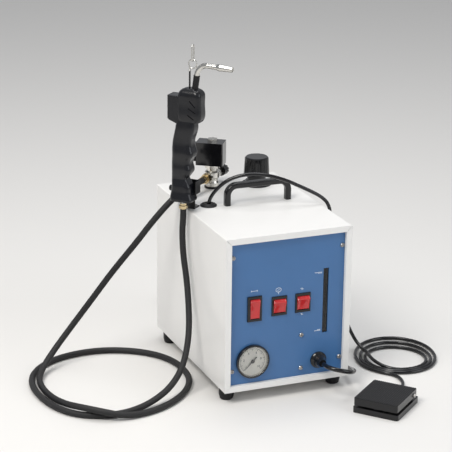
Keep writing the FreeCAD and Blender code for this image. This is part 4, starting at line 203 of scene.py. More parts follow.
def grain_group():
    """Fine moulded or painted grain: two noises of different size, added as a height."""
    name = "Surface Grain"
    if name in bpy.data.node_groups:
        return bpy.data.node_groups[name]
    group, way_in, way_out = open_group(
        name, [("Scale", "NodeSocketFloat", 900.0), ("Softness", "NodeSocketFloat", 0.5)],
        [("Height", "NodeSocketFloat")])
    coords = add_node(group, "ShaderNodeTexCoord", (-700, 0))
    fine = add_node(group, "ShaderNodeTexNoise", (-400, 150), Detail=3.0)
    coarse_scale = add_node(group, "ShaderNodeMath", (-550, -200), operation="MULTIPLY")
    coarse_scale.inputs[1].default_value = 0.31
    coarse = add_node(group, "ShaderNodeTexNoise", (-400, -150), Detail=2.0)
    mix = add_node(group, "ShaderNodeMix", (0, 0), data_type="FLOAT")
    link = group.links.new
    link(coords.outputs["Object"], fine.inputs["Vector"])
    link(coords.outputs["Object"], coarse.inputs["Vector"])
    link(way_in.outputs["Scale"], fine.inputs["Scale"])
    link(way_in.outputs["Scale"], coarse_scale.inputs[0])
    link(coarse_scale.outputs[0], coarse.inputs["Scale"])
    link(way_in.outputs["Softness"], mix.inputs[0])
    link(fine.outputs["Fac"], mix.inputs[2])
    link(coarse.outputs["Fac"], mix.inputs[3])
    link(mix.outputs[0], way_out.inputs["Height"])
    return group


def marks_group():
    """Handling marks: soft blotches that shift a colour and a roughness a little."""
    name = "Handling Marks"
    if name in bpy.data.node_groups:
        return bpy.data.node_groups[name]
    group, way_in, way_out = open_group(
        name,
        [("Color", "NodeSocketColor", (0.5, 0.5, 0.5, 1.0)),
         ("Mark Color", "NodeSocketColor", (0.4, 0.4, 0.4, 1.0)),
         ("Amount", "NodeSocketFloat", 0.2), ("Scale", "NodeSocketFloat", 25.0),
         ("Roughness", "NodeSocketFloat", 0.4), ("Swing", "NodeSocketFloat", 0.1)],
        [("Color", "NodeSocketColor"), ("Roughness", "NodeSocketFloat"), ("Mask", "NodeSocketFloat")])
    coords = add_node(group, "ShaderNodeTexCoord", (-900, 250))
    blot = add_node(group, "ShaderNodeTexNoise", (-600, 200), Detail=5.0, Roughness=0.6)
    ramp = add_node(group, "ShaderNodeMapRange", (-350, 200))
    ramp.inputs["From Min"].default_value = 0.42
    ramp.inputs["From Max"].default_value = 0.72
    share = add_node(group, "ShaderNodeMath", (-100, 200), operation="MULTIPLY")
    mix = add_node(group, "ShaderNodeMix", (200, 200), data_type="RGBA")
    swing = add_node(group, "ShaderNodeMath", (-100, -100), operation="MULTIPLY")
    total = add_node(group, "ShaderNodeMath", (200, -100), operation="ADD")
    link = group.links.new
    link(coords.outputs["Object"], blot.inputs["Vector"])
    link(way_in.outputs["Scale"], blot.inputs["Scale"])
    link(blot.outputs["Fac"], ramp.inputs["Value"])
    link(ramp.outputs["Result"], share.inputs[0])
    link(way_in.outputs["Amount"], share.inputs[1])
    link(share.outputs[0], mix.inputs[0])
    link(way_in.outputs["Color"], mix.inputs[6])
    link(way_in.outputs["Mark Color"], mix.inputs[7])
    link(ramp.outputs["Result"], swing.inputs[0])
    link(way_in.outputs["Swing"], swing.inputs[1])
    link(swing.outputs[0], total.inputs[0])
    link(way_in.outputs["Roughness"], total.inputs[1])
    link(mix.outputs[2], way_out.inputs["Color"])
    link(total.outputs[0], way_out.inputs["Roughness"])
    link(share.outputs[0], way_out.inputs["Mask"])
    return group


def dust_group():
    """Settled dust: a pale veil on faces that look up, broken up by a noise."""
    name = "Settled Dust"
    if name in bpy.data.node_groups:
        return bpy.data.node_groups[name]
    group, way_in, way_out = open_group(
        name,
        [("Color", "NodeSocketColor", (0.02, 0.02, 0.02, 1.0)),
         ("Dust Color", "NodeSocketColor", (0.4, 0.38, 0.35, 1.0)),
         ("Amount", "NodeSocketFloat", 0.1), ("Scale", "NodeSocketFloat", 90.0)],
        [("Color", "NodeSocketColor")])
    coords = add_node(group, "ShaderNodeTexCoord", (-900, 250))
    facing = add_node(group, "ShaderNodeNewGeometry", (-900, -100))
    split = add_node(group, "ShaderNodeSeparateXYZ", (-650, -100))
    up = add_node(group, "ShaderNodeMapRange", (-400, -100))
    up.inputs["From Min"].default_value = 0.3
    speck = add_node(group, "ShaderNodeTexNoise", (-650, 200), Detail=6.0, Roughness=0.7)
    both = add_node(group, "ShaderNodeMath", (-150, 50), operation="MULTIPLY")
    share = add_node(group, "ShaderNodeMath", (50, 50), operation="MULTIPLY")
    mix = add_node(group, "ShaderNodeMix", (300, 50), data_type="RGBA")
    link = group.links.new
    link(coords.outputs["Object"], speck.inputs["Vector"])
    link(way_in.outputs["Scale"], speck.inputs["Scale"])
    link(facing.outputs["Normal"], split.inputs[0])
    link(split.outputs["Z"], up.inputs["Value"])
    link(up.outputs["Result"], both.inputs[0])
    link(speck.outputs["Fac"], both.inputs[1])
    link(both.outputs[0], share.inputs[0])
    link(way_in.outputs["Amount"], share.inputs[1])
    link(share.outputs[0], mix.inputs[0])
    link(way_in.outputs["Color"], mix.inputs[6])
    link(way_in.outputs["Dust Color"], mix.inputs[7])
    link(mix.outputs[2], way_out.inputs["Color"])
    return group


def brushed_group():
    """Brushed or drawn metal: a noise stretched along one axis, as a height."""
    name = "Brushed Lines"
    if name in bpy.data.node_groups:
        return bpy.data.node_groups[name]
    group, way_in, way_out = open_group(
        name, [("Stretch", "NodeSocketVector", (1.0, 1.0, 0.03)), ("Scale", "NodeSocketFloat", 1500.0)],
        [("Height", "NodeSocketFloat")])
    coords = add_node(group, "ShaderNodeTexCoord", (-800, 0))
    scale = add_node(group, "ShaderNodeVectorMath", (-550, 0), operation="MULTIPLY")
    lines = add_node(group, "ShaderNodeTexNoise", (-300, 0), Detail=2.0)
    link = group.links.new
    link(coords.outputs["Object"], scale.inputs[0])
    link(way_in.outputs["Stretch"], scale.inputs[1])
    link(scale.outputs[0], lines.inputs["Vector"])
    link(way_in.outputs["Scale"], lines.inputs["Scale"])
    link(lines.outputs["Fac"], way_out.inputs["Height"])
    return group


def braid_group():
    """A woven sleeve: two families of diagonal strands on the UV of a tube, one over the other."""
    name = "Woven Sleeve"
    if name in bpy.data.node_groups:
        return bpy.data.node_groups[name]
    group, way_in, way_out = open_group(
        name, [("Along", "NodeSocketFloat", 400.0), ("Around", "NodeSocketFloat", 8.0)],
        [("Height", "NodeSocketFloat"), ("Mask", "NodeSocketFloat")])
    coords = add_node(group, "ShaderNodeTexCoord", (-1100, 0))
    split = add_node(group, "ShaderNodeSeparateXYZ", (-900, 0))
    along = add_node(group, "ShaderNodeMath", (-700, 150), operation="MULTIPLY")
    around = add_node(group, "ShaderNodeMath", (-700, -150), operation="MULTIPLY")
    link = group.links.new
    link(coords.outputs["UV"], split.inputs[0])
    link(split.outputs["X"], along.inputs[0])
    link(way_in.outputs["Along"], along.inputs[1])
    link(split.outputs["Y"], around.inputs[0])
    link(way_in.outputs["Around"], around.inputs[1])
    waves = []
    for row, operation in enumerate(("ADD", "SUBTRACT")):
        total = add_node(group, "ShaderNodeMath", (-500, 150 - 300 * row), operation=operation)
        turn = add_node(group, "ShaderNodeMath", (-350, 150 - 300 * row), operation="MULTIPLY")
        turn.inputs[1].default_value = 2 * math.pi
        wave = add_node(group, "ShaderNodeMath", (-200, 150 - 300 * row), operation="SINE")
        link(along.outputs[0], total.inputs[0])
        link(around.outputs[0], total.inputs[1])
        link(total.outputs[0], turn.inputs[0])
        link(turn.outputs[0], wave.inputs[0])
        waves.append(wave)
    top = add_node(group, "ShaderNodeMath", (50, 100), operation="MAXIMUM")
    cross = add_node(group, "ShaderNodeMath", (50, -100), operation="MULTIPLY")
    link(waves[0].outputs[0], top.inputs[0])
    link(waves[1].outputs[0], top.inputs[1])
    link(waves[0].outputs[0], cross.inputs[0])
    link(waves[1].outputs[0], cross.inputs[1])
    link(top.outputs[0], way_out.inputs["Height"])
    link(cross.outputs[0], way_out.inputs["Mask"])
    return group


# Materials


def open_material(name):
    """A fresh node material: (material, tree, shader)."""
    material = bpy.data.materials.new(name)
    material.use_nodes = True
    tree = material.node_tree
    tree.nodes.clear()
    shader = add_node(tree, "ShaderNodeBsdfPrincipled", (300, 0))
    out = add_node(tree, "ShaderNodeOutputMaterial", (600, 0))
    tree.links.new(shader.outputs["BSDF"], out.inputs["Surface"])
    return material, tree, shader


def place_group(tree, group, at, **values):
    """One use of an effect group, with its own values."""
    node = tree.nodes.new("ShaderNodeGroup")
    node.node_tree = group
    node.location = at
    for key, value in values.items():
        node.inputs[key.replace("_", " ")].default_value = value
    return node


def tint(colour, factor):
    """A colour made lighter or darker, with an alpha of one."""
    return tuple(min(1.0, channel * factor) for channel in colour[:3]) + (1.0,)


def add_bump(tree, shader, height, strength, distance):
    """A bump of a height on the shader's normal."""
    bump = add_node(tree, "ShaderNodeBump", (50, -300), Strength=strength, Distance=distance)
    tree.links.new(height, bump.inputs["Height"])
    tree.links.new(bump.outputs["Normal"], shader.inputs["Normal"])


def painted(name, colour, roughness, grain=700.0, bump=0.12, coat=0.0, marks=0.1, mark_scale=9.0, dark=0.86):
    """Powder paint: orange-peel grain and faint handling marks."""
    material, tree, shader = open_material(name)
    wear = place_group(tree, marks_group(), (-250, 100), Color=tint(colour, 1.0),
                       Mark_Color=tint(colour, dark),
                       Amount=marks, Scale=mark_scale, Roughness=roughness, Swing=0.08)
    peel = place_group(tree, grain_group(), (-250, -300), Scale=grain, Softness=0.6)
    tree.links.new(wear.outputs["Color"], shader.inputs["Base Color"])
    tree.links.new(wear.outputs["Roughness"], shader.inputs["Roughness"])
    shader.inputs["Coat Weight"].default_value = coat
    shader.inputs["Coat Roughness"].default_value = 0.12
    add_bump(tree, shader, peel.outputs["Height"], bump, 0.0004)
    return material


def moulded(name, colour, roughness, grain=1400.0, bump=0.25, coat=0.0, dust=0.05, marks=0.25, light=2.2,
            shine=0.3):
    """Moulded plastic or rubber: fine grain, rubbed patches and a little dust."""
    material, tree, shader = open_material(name)
    wear = place_group(tree, marks_group(), (-450, 100), Color=tint(colour, 1.0),
                       Mark_Color=tint(colour, light),
                       Amount=marks, Scale=34.0, Roughness=roughness, Swing=-0.12)
    veil = place_group(tree, dust_group(), (-150, 150), Dust_Color=(0.30, 0.28, 0.26, 1.0), Amount=dust,
                       Scale=160.0)
    grains = place_group(tree, grain_group(), (-250, -300), Scale=grain, Softness=0.35)
    tree.links.new(wear.outputs["Color"], veil.inputs["Color"])
    tree.links.new(veil.outputs["Color"], shader.inputs["Base Color"])
    tree.links.new(wear.outputs["Roughness"], shader.inputs["Roughness"])
    shader.inputs["Specular IOR Level"].default_value = shine
    shader.inputs["Coat Weight"].default_value = coat
    shader.inputs["Coat Roughness"].default_value = 0.08
    add_bump(tree, shader, grains.outputs["Height"], bump, 0.00015)
    return material


def metal(name, colour, roughness, stretch=(1.0, 1.0, 0.05), lines=900.0, bump=0.06, marks=0.35, dark=0.62):
    """Metal: drawn or cast lines, with duller and darker patches."""
    material, tree, shader = open_material(name)
    wear = place_group(tree, marks_group(), (-250, 100), Color=tint(colour, 1.0),
                       Mark_Color=tint(colour, dark),
                       Amount=marks, Scale=60.0, Roughness=roughness, Swing=0.18)
    brush = place_group(tree, brushed_group(), (-250, -300), Stretch=stretch, Scale=lines)
    tree.links.new(wear.outputs["Color"], shader.inputs["Base Color"])
    tree.links.new(wear.outputs["Roughness"], shader.inputs["Roughness"])
    shader.inputs["Metallic"].default_value = 1.0
    add_bump(tree, shader, brush.outputs["Height"], bump, 0.0002)
    return material


def glass(name, tone, roughness=0.03):
    """Clear glass or acrylic with faint smears."""
    material, tree, shader = open_material(name)
    smear = place_group(tree, marks_group(), (-250, 100), Color=tint(tone, 1.0), Mark_Color=tint(tone, 0.94),
                        Amount=0.3, Scale=50.0, Roughness=roughness, Swing=0.06)
    tree.links.new(smear.outputs["Color"], shader.inputs["Base Color"])
    tree.links.new(smear.outputs["Roughness"], shader.inputs["Roughness"])
    shader.inputs["Transmission Weight"].default_value = 1.0
    shader.inputs["IOR"].default_value = 1.45
    return material


def woven(name, colour, along, around):
    """A woven hose cover: matt strands with a few pale threads."""
    material, tree, shader = open_material(name)
    sleeve = place_group(tree, braid_group(), (-500, -200), Along=along, Around=around)
    thread = add_node(tree, "ShaderNodeMapRange", (-300, 150))
    thread.inputs["From Min"].default_value = 0.55
    thread.inputs["From Max"].default_value = 1.0
    thread.inputs["To Max"].default_value = 0.55
    mix = add_node(tree, "ShaderNodeMix", (-100, 150), data_type="RGBA")
    mix.inputs[6].default_value = tint(colour, 1.0)
    mix.inputs[7].default_value = tint(colour, 4.5)
    veil = place_group(tree, dust_group(), (80, 200), Dust_Color=(0.34, 0.32, 0.3, 1.0), Amount=0.05,
                       Scale=120.0)
    tree.links.new(sleeve.outputs["Mask"], thread.inputs["Value"])
    tree.links.new(thread.outputs["Result"], mix.inputs[0])
    tree.links.new(mix.outputs[2], veil.inputs["Color"])
    tree.links.new(veil.outputs["Color"], shader.inputs["Base Color"])
    shader.inputs["Roughness"].default_value = 0.62
    add_bump(tree, shader, sleeve.outputs["Height"], 0.5, 0.0004)
    return material


def plain_ink(name, colour):
    """Printed ink: nearly flat colour with a faint unevenness."""
    return painted(name, colour, 0.45, grain=2500.0, bump=0.05, marks=0.12, mark_scale=180.0)


def finish(material, *nodes):
    """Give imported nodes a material; their meshes stay as they are."""
    for node in nodes:
        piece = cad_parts[node]
        piece.data.materials.clear()
        piece.data.materials.append(material)


# Mesh helpers


def surface(name, points, material, close_across=False, close_along=False, cap=False, smooth=True,
            body="root"):
    """A grid of points (along, across, 3) in metres as a quad mesh; cap closes its ends by poles."""
    rows, columns, _ = points.shape
    index = np.arange(rows * columns).reshape(rows, columns)
    low = index if close_along else index[:-1]
    high = np.roll(index, -1, axis=0) if close_along else index[1:]
    if close_across:
        low_next = np.roll(low, -1, axis=1)
        high_next = np.roll(high, -1, axis=1)
    else:
        low, low_next = low[:, :-1], low[:, 1:]
        high, high_next = high[:, :-1], high[:, 1:]
    quads = np.stack([low, low_next, high_next, high], axis=-1).reshape(-1, 4)
    vertices = points.reshape(-1, 3)
    faces = quads.tolist()
    if cap:
        vertices = np.vstack([vertices, points[0].mean(axis=0), points[-1].mean(axis=0)])
        first, last = rows * columns, rows * columns + 1
        ring = index[0]
        faces += np.stack([np.full(columns, first), np.roll(ring, -1), ring], axis=-1).tolist()
        ring = index[-1]
        faces += np.stack([np.full(columns, last), ring, np.roll(ring, -1)], axis=-1).tolist()
    mesh = bpy.data.meshes.new(name)
    mesh.from_pydata(vertices.tolist(), [], faces)
    mesh.update()
    return add_piece(name, mesh, material, smooth, body)


def add_piece(name, mesh, material, smooth=True, body="root"):
    """Link a mesh into the scene with its material, riding on a body."""
    piece = bpy.data.objects.new(name, mesh)
    bpy.context.scene.collection.objects.link(piece)
    mesh.materials.append(material)
    mesh.polygons.foreach_set("use_smooth", np.full(len(mesh.polygons), smooth))
    mesh.validate()
    face_outwards(mesh)
    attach(piece, body)
    return piece


def face_outwards(mesh):
    """Recalculate a closed mesh's faces so that they look outwards."""
    work = bmesh.new()
    work.from_mesh(mesh)
    bmesh.ops.remove_doubles(work, verts=work.verts, dist=1e-7)
    bmesh.ops.recalc_face_normals(work, faces=work.faces)
    work.to_mesh(mesh)
    work.free()


def lathe(name, profile, base, axis, material, steps=96, body="root"):
    """Surface of revolution: a closed profile of (radius, height) in mm, turned about axis through base."""
    rings = np.array(profile, float)
    turn = np.linspace(0.0, 2 * math.pi, steps, endpoint=False)
    up = np.array(axis, float)
    up /= np.linalg.norm(up)
    side = np.cross(up, [0.0, 0.0, 1.0] if abs(up[2]) < 0.9 else [1.0, 0.0, 0.0])
    side /= np.linalg.norm(side)
    other = np.cross(up, side)
    spoke = np.cos(turn)[:, None] * side + np.sin(turn)[:, None] * other
    points = (np.array(base, float) + rings[:, None, 0:1] * spoke[None, :, :] + rings[:, None, 1:2] * up) * MM
    return surface(name, points, material, close_across=True, close_along=True, body=body)


def plates(name, corners, thickness, material, body="root"):
    """Thin flat plates: corners (count, sides, 3) in mm on the front face, and a wall back along +Y."""
    front = np.array(corners, float)
    count, sides, _ = front.shape
    back = front + np.array([0.0, thickness, 0.0])
    vertices = np.concatenate([front, back], axis=1).reshape(-1, 3) * MM
    base = np.arange(count)[:, None] * 2 * sides
    ring = np.arange(sides)
    after = (ring + 1) % sides
    faces = (base + ring).tolist() + (base + sides + ring[::-1]).tolist()
    walls = np.stack([ring, ring + sides, after + sides, after], axis=-1)
    faces += (base[:, :, None] + walls[None]).reshape(-1, 4).tolist()
    mesh = bpy.data.meshes.new(name)
    mesh.from_pydata(vertices.tolist(), [], faces)
    mesh.update()
    return add_piece(name, mesh, material, smooth=False, body=body)


def bars(spots, y):
    """Upright rectangles on a plane of constant y: each spot is (x, z, width, height, turn in degrees)."""
    data = np.array(spots, float)
    half = data[:, 2:4] / 2
    signs = np.array([[-1, -1], [1, -1], [1, 1], [-1, 1]], float)
    local = signs[None] * half[:, None, :]
    angle = np.radians(data[:, 4])
    c, s = np.cos(angle)[:, None], np.sin(angle)[:, None]
    x = data[:, 0:1] + local[:, :, 0] * c - local[:, :, 1] * s
    z = data[:, 1:2] + local[:, :, 0] * s + local[:, :, 1] * c
    return np.stack([x, np.full_like(x, y), z], axis=-1)


# Leads


def lead(name, route, radius, material, resolution=6):
    """A lead or hose: one open NURBS spline of order three through control points in mm."""
    curve = bpy.data.curves.new(name, "CURVE")
    curve.dimensions = "3D"
    curve.resolution_u = resolution
    curve.bevel_depth = radius
    curve.bevel_resolution = 5
    curve.use_fill_caps = True
    spline = curve.splines.new("NURBS")
    points = np.array(route, float) * MM
    spline.points.add(len(points) - 1)
    spline.points.foreach_set("co", np.hstack([points, np.ones((len(points), 1))]).ravel())
    spline.order_u = 3
    spline.use_endpoint_u = True
    piece = bpy.data.objects.new(name, curve)
    bpy.context.scene.collection.objects.link(piece)
    curve.materials.append(material)
    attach(piece, "root")
    return piece


def pedal_coil(per_turn=16):
    """The loose coil: radius 45 + 6.5 a turn, wider at the back by the fourth power of a sine."""
    turns = 3.14
    angle = np.linspace(0.0, 2 * math.pi * turns, int(per_turn * turns))
    at = angle + math.radians(15.0)
    turn = at / (2 * math.pi)
    back = ((1 - np.sin(at)) / 2) ** 4
    radius = (45.0 + 6.5 * turn + 14.0 * back * (turn - 0.75)) * SPLINE_WIDER
    share = np.minimum(angle / math.radians(75.0), 1.0)
    height = 3.0 + 6.6 * (1 + np.cos(math.pi * share)) / 2
    x, y = -radius * np.cos(at), -radius * np.sin(at)
    c, s = math.cos(PEDAL_COIL_YAW), math.sin(PEDAL_COIL_YAW)
    return np.stack([PEDAL_COIL_AT[0] + x * c - y * s, PEDAL_COIL_AT[1] + x * s + y * c, height], axis=-1)


def mains_coil(per_turn=16):
    """The tied coil: it spirals in by 7.8 mm a turn, climbs one layer and spirals out."""
    turns = 5.25
    angle = np.linspace(0.0, 2 * math.pi * turns, int(per_turn * turns))
    middle = math.pi * turns
    inner = 51.0 - MAINS_COIL_STEP * turns / 2
    radius = (inner + MAINS_COIL_STEP * np.abs(angle - middle) / (2 * math.pi)) * SPLINE_WIDER
    climb = np.clip((angle - middle + math.pi / 2) / math.pi, 0.0, 1.0)
    return np.stack([MAINS_COIL_AT[0] + radius * np.cos(angle), MAINS_COIL_AT[1] + radius * np.sin(angle),
                     5.3 + MAINS_COIL_STEP * climb], axis=-1)


class CLEANER_OT_leads(bpy.types.Operator):
    """Steam hose, pedal lead and mains lead as smooth splines"""

    bl_idname = "cleaner.leads"
    bl_label = "Hose and leads"

    def execute(self, context):
        settings = look()
        sleeve = woven("hose sleeve", (0.0055, 0.0055, 0.0065), 330.0, 8.0)
        sheath = moulded("lead sheath", (0.004, 0.004, 0.005), 0.16, grain=2500.0, bump=0.03, coat=0.4,
                         dust=0.01, marks=0.15)
        hose = lead("hose_line", HOSE_ROUTE, settings.hose_radius, sleeve, resolution=8)
        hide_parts("steam_hose")
        route = np.vstack([PEDAL_LEAD_DOWN, pedal_coil(), PEDAL_LEAD_ON])
        pedal_lead = lead("pedal_lead_line", route, settings.pedal_lead_radius, sheath)
        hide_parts("pedal_cord", "pedal_cord_coil")
        route = np.vstack([MAINS_LEAD_TO_COIL, mains_coil(), MAINS_LEAD_TO_PLUG])
        mains_lead = lead("mains_lead_line", route, settings.mains_lead_radius, sheath)
        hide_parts("mains_cord", "mains_cord_coil")
        finish(sheath, "mains_plug")
        finish(moulded("tie strap", (0.02, 0.02, 0.022), 0.5, dust=0.04), "cord_tie")
        return {"FINISHED"}


class CLEANER_OT_cabinet(bpy.types.Operator):
    """Painted sheet metal, feet, screws and top fittings of the cabinet"""

    bl_idname = "cleaner.cabinet"
    bl_label = "Cabinet"

    def execute(self, context):
        settings = look()
        paint = painted("cover paint", settings.cover_colour, 0.38, coat=0.15, marks=0.25, dark=0.93)
        finish(paint, "case_cover", "base_tray", "rear_panel")
        finish(painted("panel paint", settings.panel_colour, 0.34, grain=1100.0, bump=0.08, coat=0.2,
                       marks=0.3, mark_scale=14.0, dark=0.8), "front_panel")
        plastic = moulded("black plastic", settings.plastic_colour, 0.24, bump=0.12, coat=0.35, dust=0.015,
                          marks=0.2)
        finish(plastic, "carry_handle", "cord_gland", "boiler_cap", "flow_knob", "mains_switch_housing",
               "heater_switch_housing", "steam_switch_housing", "holder_thumbscrew", "filler_ring")
        rubber = moulded("black rubber", (0.007, 0.007, 0.008), 0.5, grain=900.0, dust=0.04)
        finish(rubber, "case_feet", "cord_grommet", "valve_gasket", "neck_sleeve")
        finish(metal("screw steel", (0.42, 0.41, 0.40), 0.2), "case_screws")
        return {"FINISHED"}


class CLEANER_OT_marks(bpy.types.Operator):
    """Generic printed marks of the front panel"""

    bl_idname = "cleaner.marks"
    bl_label = "Panel marks"

    def execute(self, context):
        settings = look()
        ink = plain_ink("panel ink", settings.ink_colour)
        y = PANEL_Y - settings.ink_height / MM
        spots = [(-55.6, 180.6, 9.6, 0.7, 0.0), (-60.6, 180.6, 0.8, 2.6, 0.0), (-50.6, 180.6, 0.8, 2.6, 0.0)]
        spots += [(24.4, 174.4, 1.1, 3.4, 0.0), (22.6, 174.9, 1.6, 0.7, 0.0), (26.3, 173.9, 1.6, 0.7, 0.0)]
        spots += [(24.9, 132.6, 1.1, 3.0, 0.0), (23.2, 133.2, 1.6, 0.7, 0.0), (26.6, 132.0, 1.6, 0.7, 0.0)]
        spots += [(51.5, 197.6, 12.6, 0.75, 0.0), (54.2, 196.2, 7.0, 0.6, 0.0)]
        spots += [(52.4, 101.2, 10.2, 0.75, 0.0), (54.6, 102.6, 6.0, 0.6, 0.0)]
        ring = np.linspace(0.0, 2 * math.pi, 14, endpoint=False)
        spots += [(-15.2 + 4.4 * math.cos(a), 177.4 + 3.2 * math.sin(a), 2.1, 0.8, math.degrees(a) + 90.0)
                  for a in ring]
        spots += [(-15.2, 177.4, 3.8, 0.7, 20.0), (-15.2, 172.3, 0.9, 3.2, 0.0)]
        marks = plates("panel_marks", bars(spots, y), settings.ink_height / MM + 0.02, ink)
        return {"FINISHED"}


def rocker_outline(radius, half_angle, back, dish, count=160):
    """Outline of a rocker in its (y, z) plane: drum arcs, a flat back and a slightly dished face, rounded."""
    half = math.radians(half_angle)
    flat = radius * math.cos(half)
    rise = radius * math.sin(half)
    back_angle = math.asin(back / radius)
    upper = np.linspace(math.pi - half, math.pi / 2 - back_angle, 60)
    lower = np.linspace(-math.pi / 2 + back_angle, -math.pi + half, 60)
    z = np.linspace(-rise, rise, 60)
    face = np.stack([-flat + dish * (1 - (z / rise) ** 2), z], axis=-1)
    outline = np.vstack([
        np.stack([radius * np.cos(upper), radius * np.sin(upper)], axis=-1),
        np.stack([radius * np.cos(lower), radius * np.sin(lower)], axis=-1), face])
    steps = np.linalg.norm(np.diff(np.vstack([outline, outline[:1]]), axis=0), axis=1)
    length = np.concatenate([[0.0], np.cumsum(steps)])
    at = np.linspace(0.0, length[-1], count, endpoint=False)
    closed = np.vstack([outline, outline[:1]])
    even = np.stack([np.interp(at, length, closed[:, k]) for k in (0, 1)], axis=-1)
    for _ in range(3):
        even = (np.roll(even, 1, axis=0) + 2 * even + np.roll(even, -1, axis=0)) / 4
    return even


class CLEANER_OT_switches(bpy.types.Operator):
    """Red rockers with softened edges and a dished face"""

    bl_idname = "cleaner.switches"
    bl_label = "Rocker switches"

    def execute(self, context):
        settings = look()
        red = moulded("rocker red", settings.rocker_colour, 0.22, grain=2600.0, bump=0.04, coat=0.5, dust=0.0,
                      marks=0.2, light=1.2)
        for label, (x, z, front, depth, width, radius, half_angle, tilt) in ROCKERS.items():
            outline = rocker_outline(radius, half_angle, 3.0, 0.5)
            edge = 0.7
            bend = np.linspace(0.0, math.pi / 2, 6)
            across = np.concatenate([-width / 2 + edge * (1 - np.sin(bend)),
                                     width / 2 - edge * (1 - np.sin(bend[::-1]))])
            inset = np.concatenate([edge * (1 - np.cos(math.pi / 2 - bend)),
                                    edge * (1 - np.cos(math.pi / 2 - bend[::-1]))])
            order = np.argsort(across)
            across, inset = across[order], inset[order]
            reach = np.linalg.norm(outline, axis=1)
            shrink = 1 - inset[:, None] / reach[None, :]
            turn = math.radians(tilt)
            c, s = math.cos(turn), math.sin(turn)
            y = outline[None, :, 0] * shrink
            h = outline[None, :, 1] * shrink
            points = np.stack([np.broadcast_to(x + across[:, None], y.shape), front + depth + y * c - h * s,
                               z + y * s + h * c], axis=-1)
            body = label.replace("switch", "rocker")
            piece = surface(label + "_cap", points * MM, red, close_across=True, cap=True, body=body)
            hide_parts(label + "_rocker")
        return {"FINISHED"}


def numeral(name, text, size, centre, y, material, body="root"):
    """A numeral as a thin mesh, upright on a plane of constant y, centred on a point in mm."""
    curve = bpy.data.curves.new(name, "FONT")
    curve.body = text
    curve.size = size * MM
    curve.align_x = "CENTER"
    curve.align_y = "CENTER"
    curve.extrude = 0.00003
    work = bpy.data.objects.new(name + "_work", curve)
    bpy.context.scene.collection.objects.link(work)
    bpy.context.view_layer.update()
    mesh = bpy.data.meshes.new_from_object(work)
    bpy.data.objects.remove(work)
    mesh.name = name
    mesh.materials.clear()
    spot = Matrix.Translation(Vector((centre[0] * MM, y * MM, centre[1] * MM)))
    mesh.transform(spot @ Matrix.Rotation(math.pi / 2, 4, "X"))
    return add_piece(name, mesh, material, smooth=False, body=body)


class CLEANER_OT_gauge(bpy.types.Operator):
    """Pressure gauge: rim, bright inner ring, dial marks, numerals, pointer and lens"""

    bl_idname = "cleaner.gauge"
    bl_label = "Pressure gauge"

    def execute(self, context):
        settings = look()
        finish(moulded("gauge rim black", (0.005, 0.005, 0.006), 0.2, bump=0.08, coat=0.5, dust=0.01),
               "gauge_case")
        finish(painted("dial paint", settings.dial_colour, 0.5, grain=1800.0, bump=0.03, marks=0.15,
                       mark_scale=60.0), "gauge_dial")
        finish(painted("pointer black", (0.01, 0.01, 0.01), 0.4), "gauge_pointer")
        finish(glass("gauge lens glass", (0.97, 0.98, 0.98)), "gauge_lens")
        bright = metal("gauge ring chrome", (0.78, 0.77, 0.74), 0.14, marks=0.2)
        face = PANEL_Y
        profile = [(24.7, -4.9), (24.7, -0.6), (23.2, -0.6), (23.0, -1.2), (23.9, -4.2), (24.2, -4.9)]
        ring = lathe("gauge_inner_ring", profile, (GAUGE_X, face, GAUGE_Z), (0.0, 1.0, 0.0), bright)
        ink = plain_ink("dial ink", (0.015, 0.015, 0.017))
        y = face - 0.1 - 0.06
        spots = []
        for step in range(51):
            angle = math.radians(225.0 - 270.0 * step / 50)
            major = step % 5 == 0
            length = 3.2 if major else 1.7
            radius = 20.6 - length / 2
            spots.append((GAUGE_X + radius * math.cos(angle), GAUGE_Z + radius * math.sin(angle), length,
                          0.55 if major else 0.28, math.degrees(angle)))
        arc = np.radians(np.linspace(225.0, -45.0, 91))
        for low, high in zip(arc[:-1], arc[1:]):
            middle = (low + high) / 2
            spots.append((GAUGE_X + 20.8 * math.cos(middle), GAUGE_Z + 20.8 * math.sin(middle), 0.3, 1.1,
                          math.degrees(middle)))
        plates("dial_marks", bars(spots, y), 0.07, ink)
        for step in range(0, 11, 2):
            angle = math.radians(225.0 - 27.0 * step)
            spot = (GAUGE_X + 14.4 * math.cos(angle), GAUGE_Z + 14.4 * math.sin(angle))
            numeral(f"dial_numeral_{step}", str(step), 5.4, spot, y, ink)
        return {"FINISHED"}


class CLEANER_OT_valve(bpy.types.Operator):
    """Steam valve, solenoid coil, hose fitting and filler stopper"""

    bl_idname = "cleaner.valve"
    bl_label = "Steam valve"

    def execute(self, context):
        nickel = metal("cast nickel", (0.74, 0.72, 0.67), 0.17, stretch=(1.0, 1.0, 0.6), lines=500.0,
                       bump=0.14, marks=0.5, dark=0.35)
        finish(nickel, "valve_body", "coil_nut")
        finish(moulded("coil black", (0.0035, 0.0035, 0.0045), 0.18, bump=0.08, coat=0.5, dust=0.01),
               "valve_coil", "valve_plug")
        finish(metal("turned brass", (0.62, 0.50, 0.30), 0.2, marks=0.5, dark=0.5),
               "hose_fitting", "hose_nut", "cap_plug")
        return {"FINISHED"}


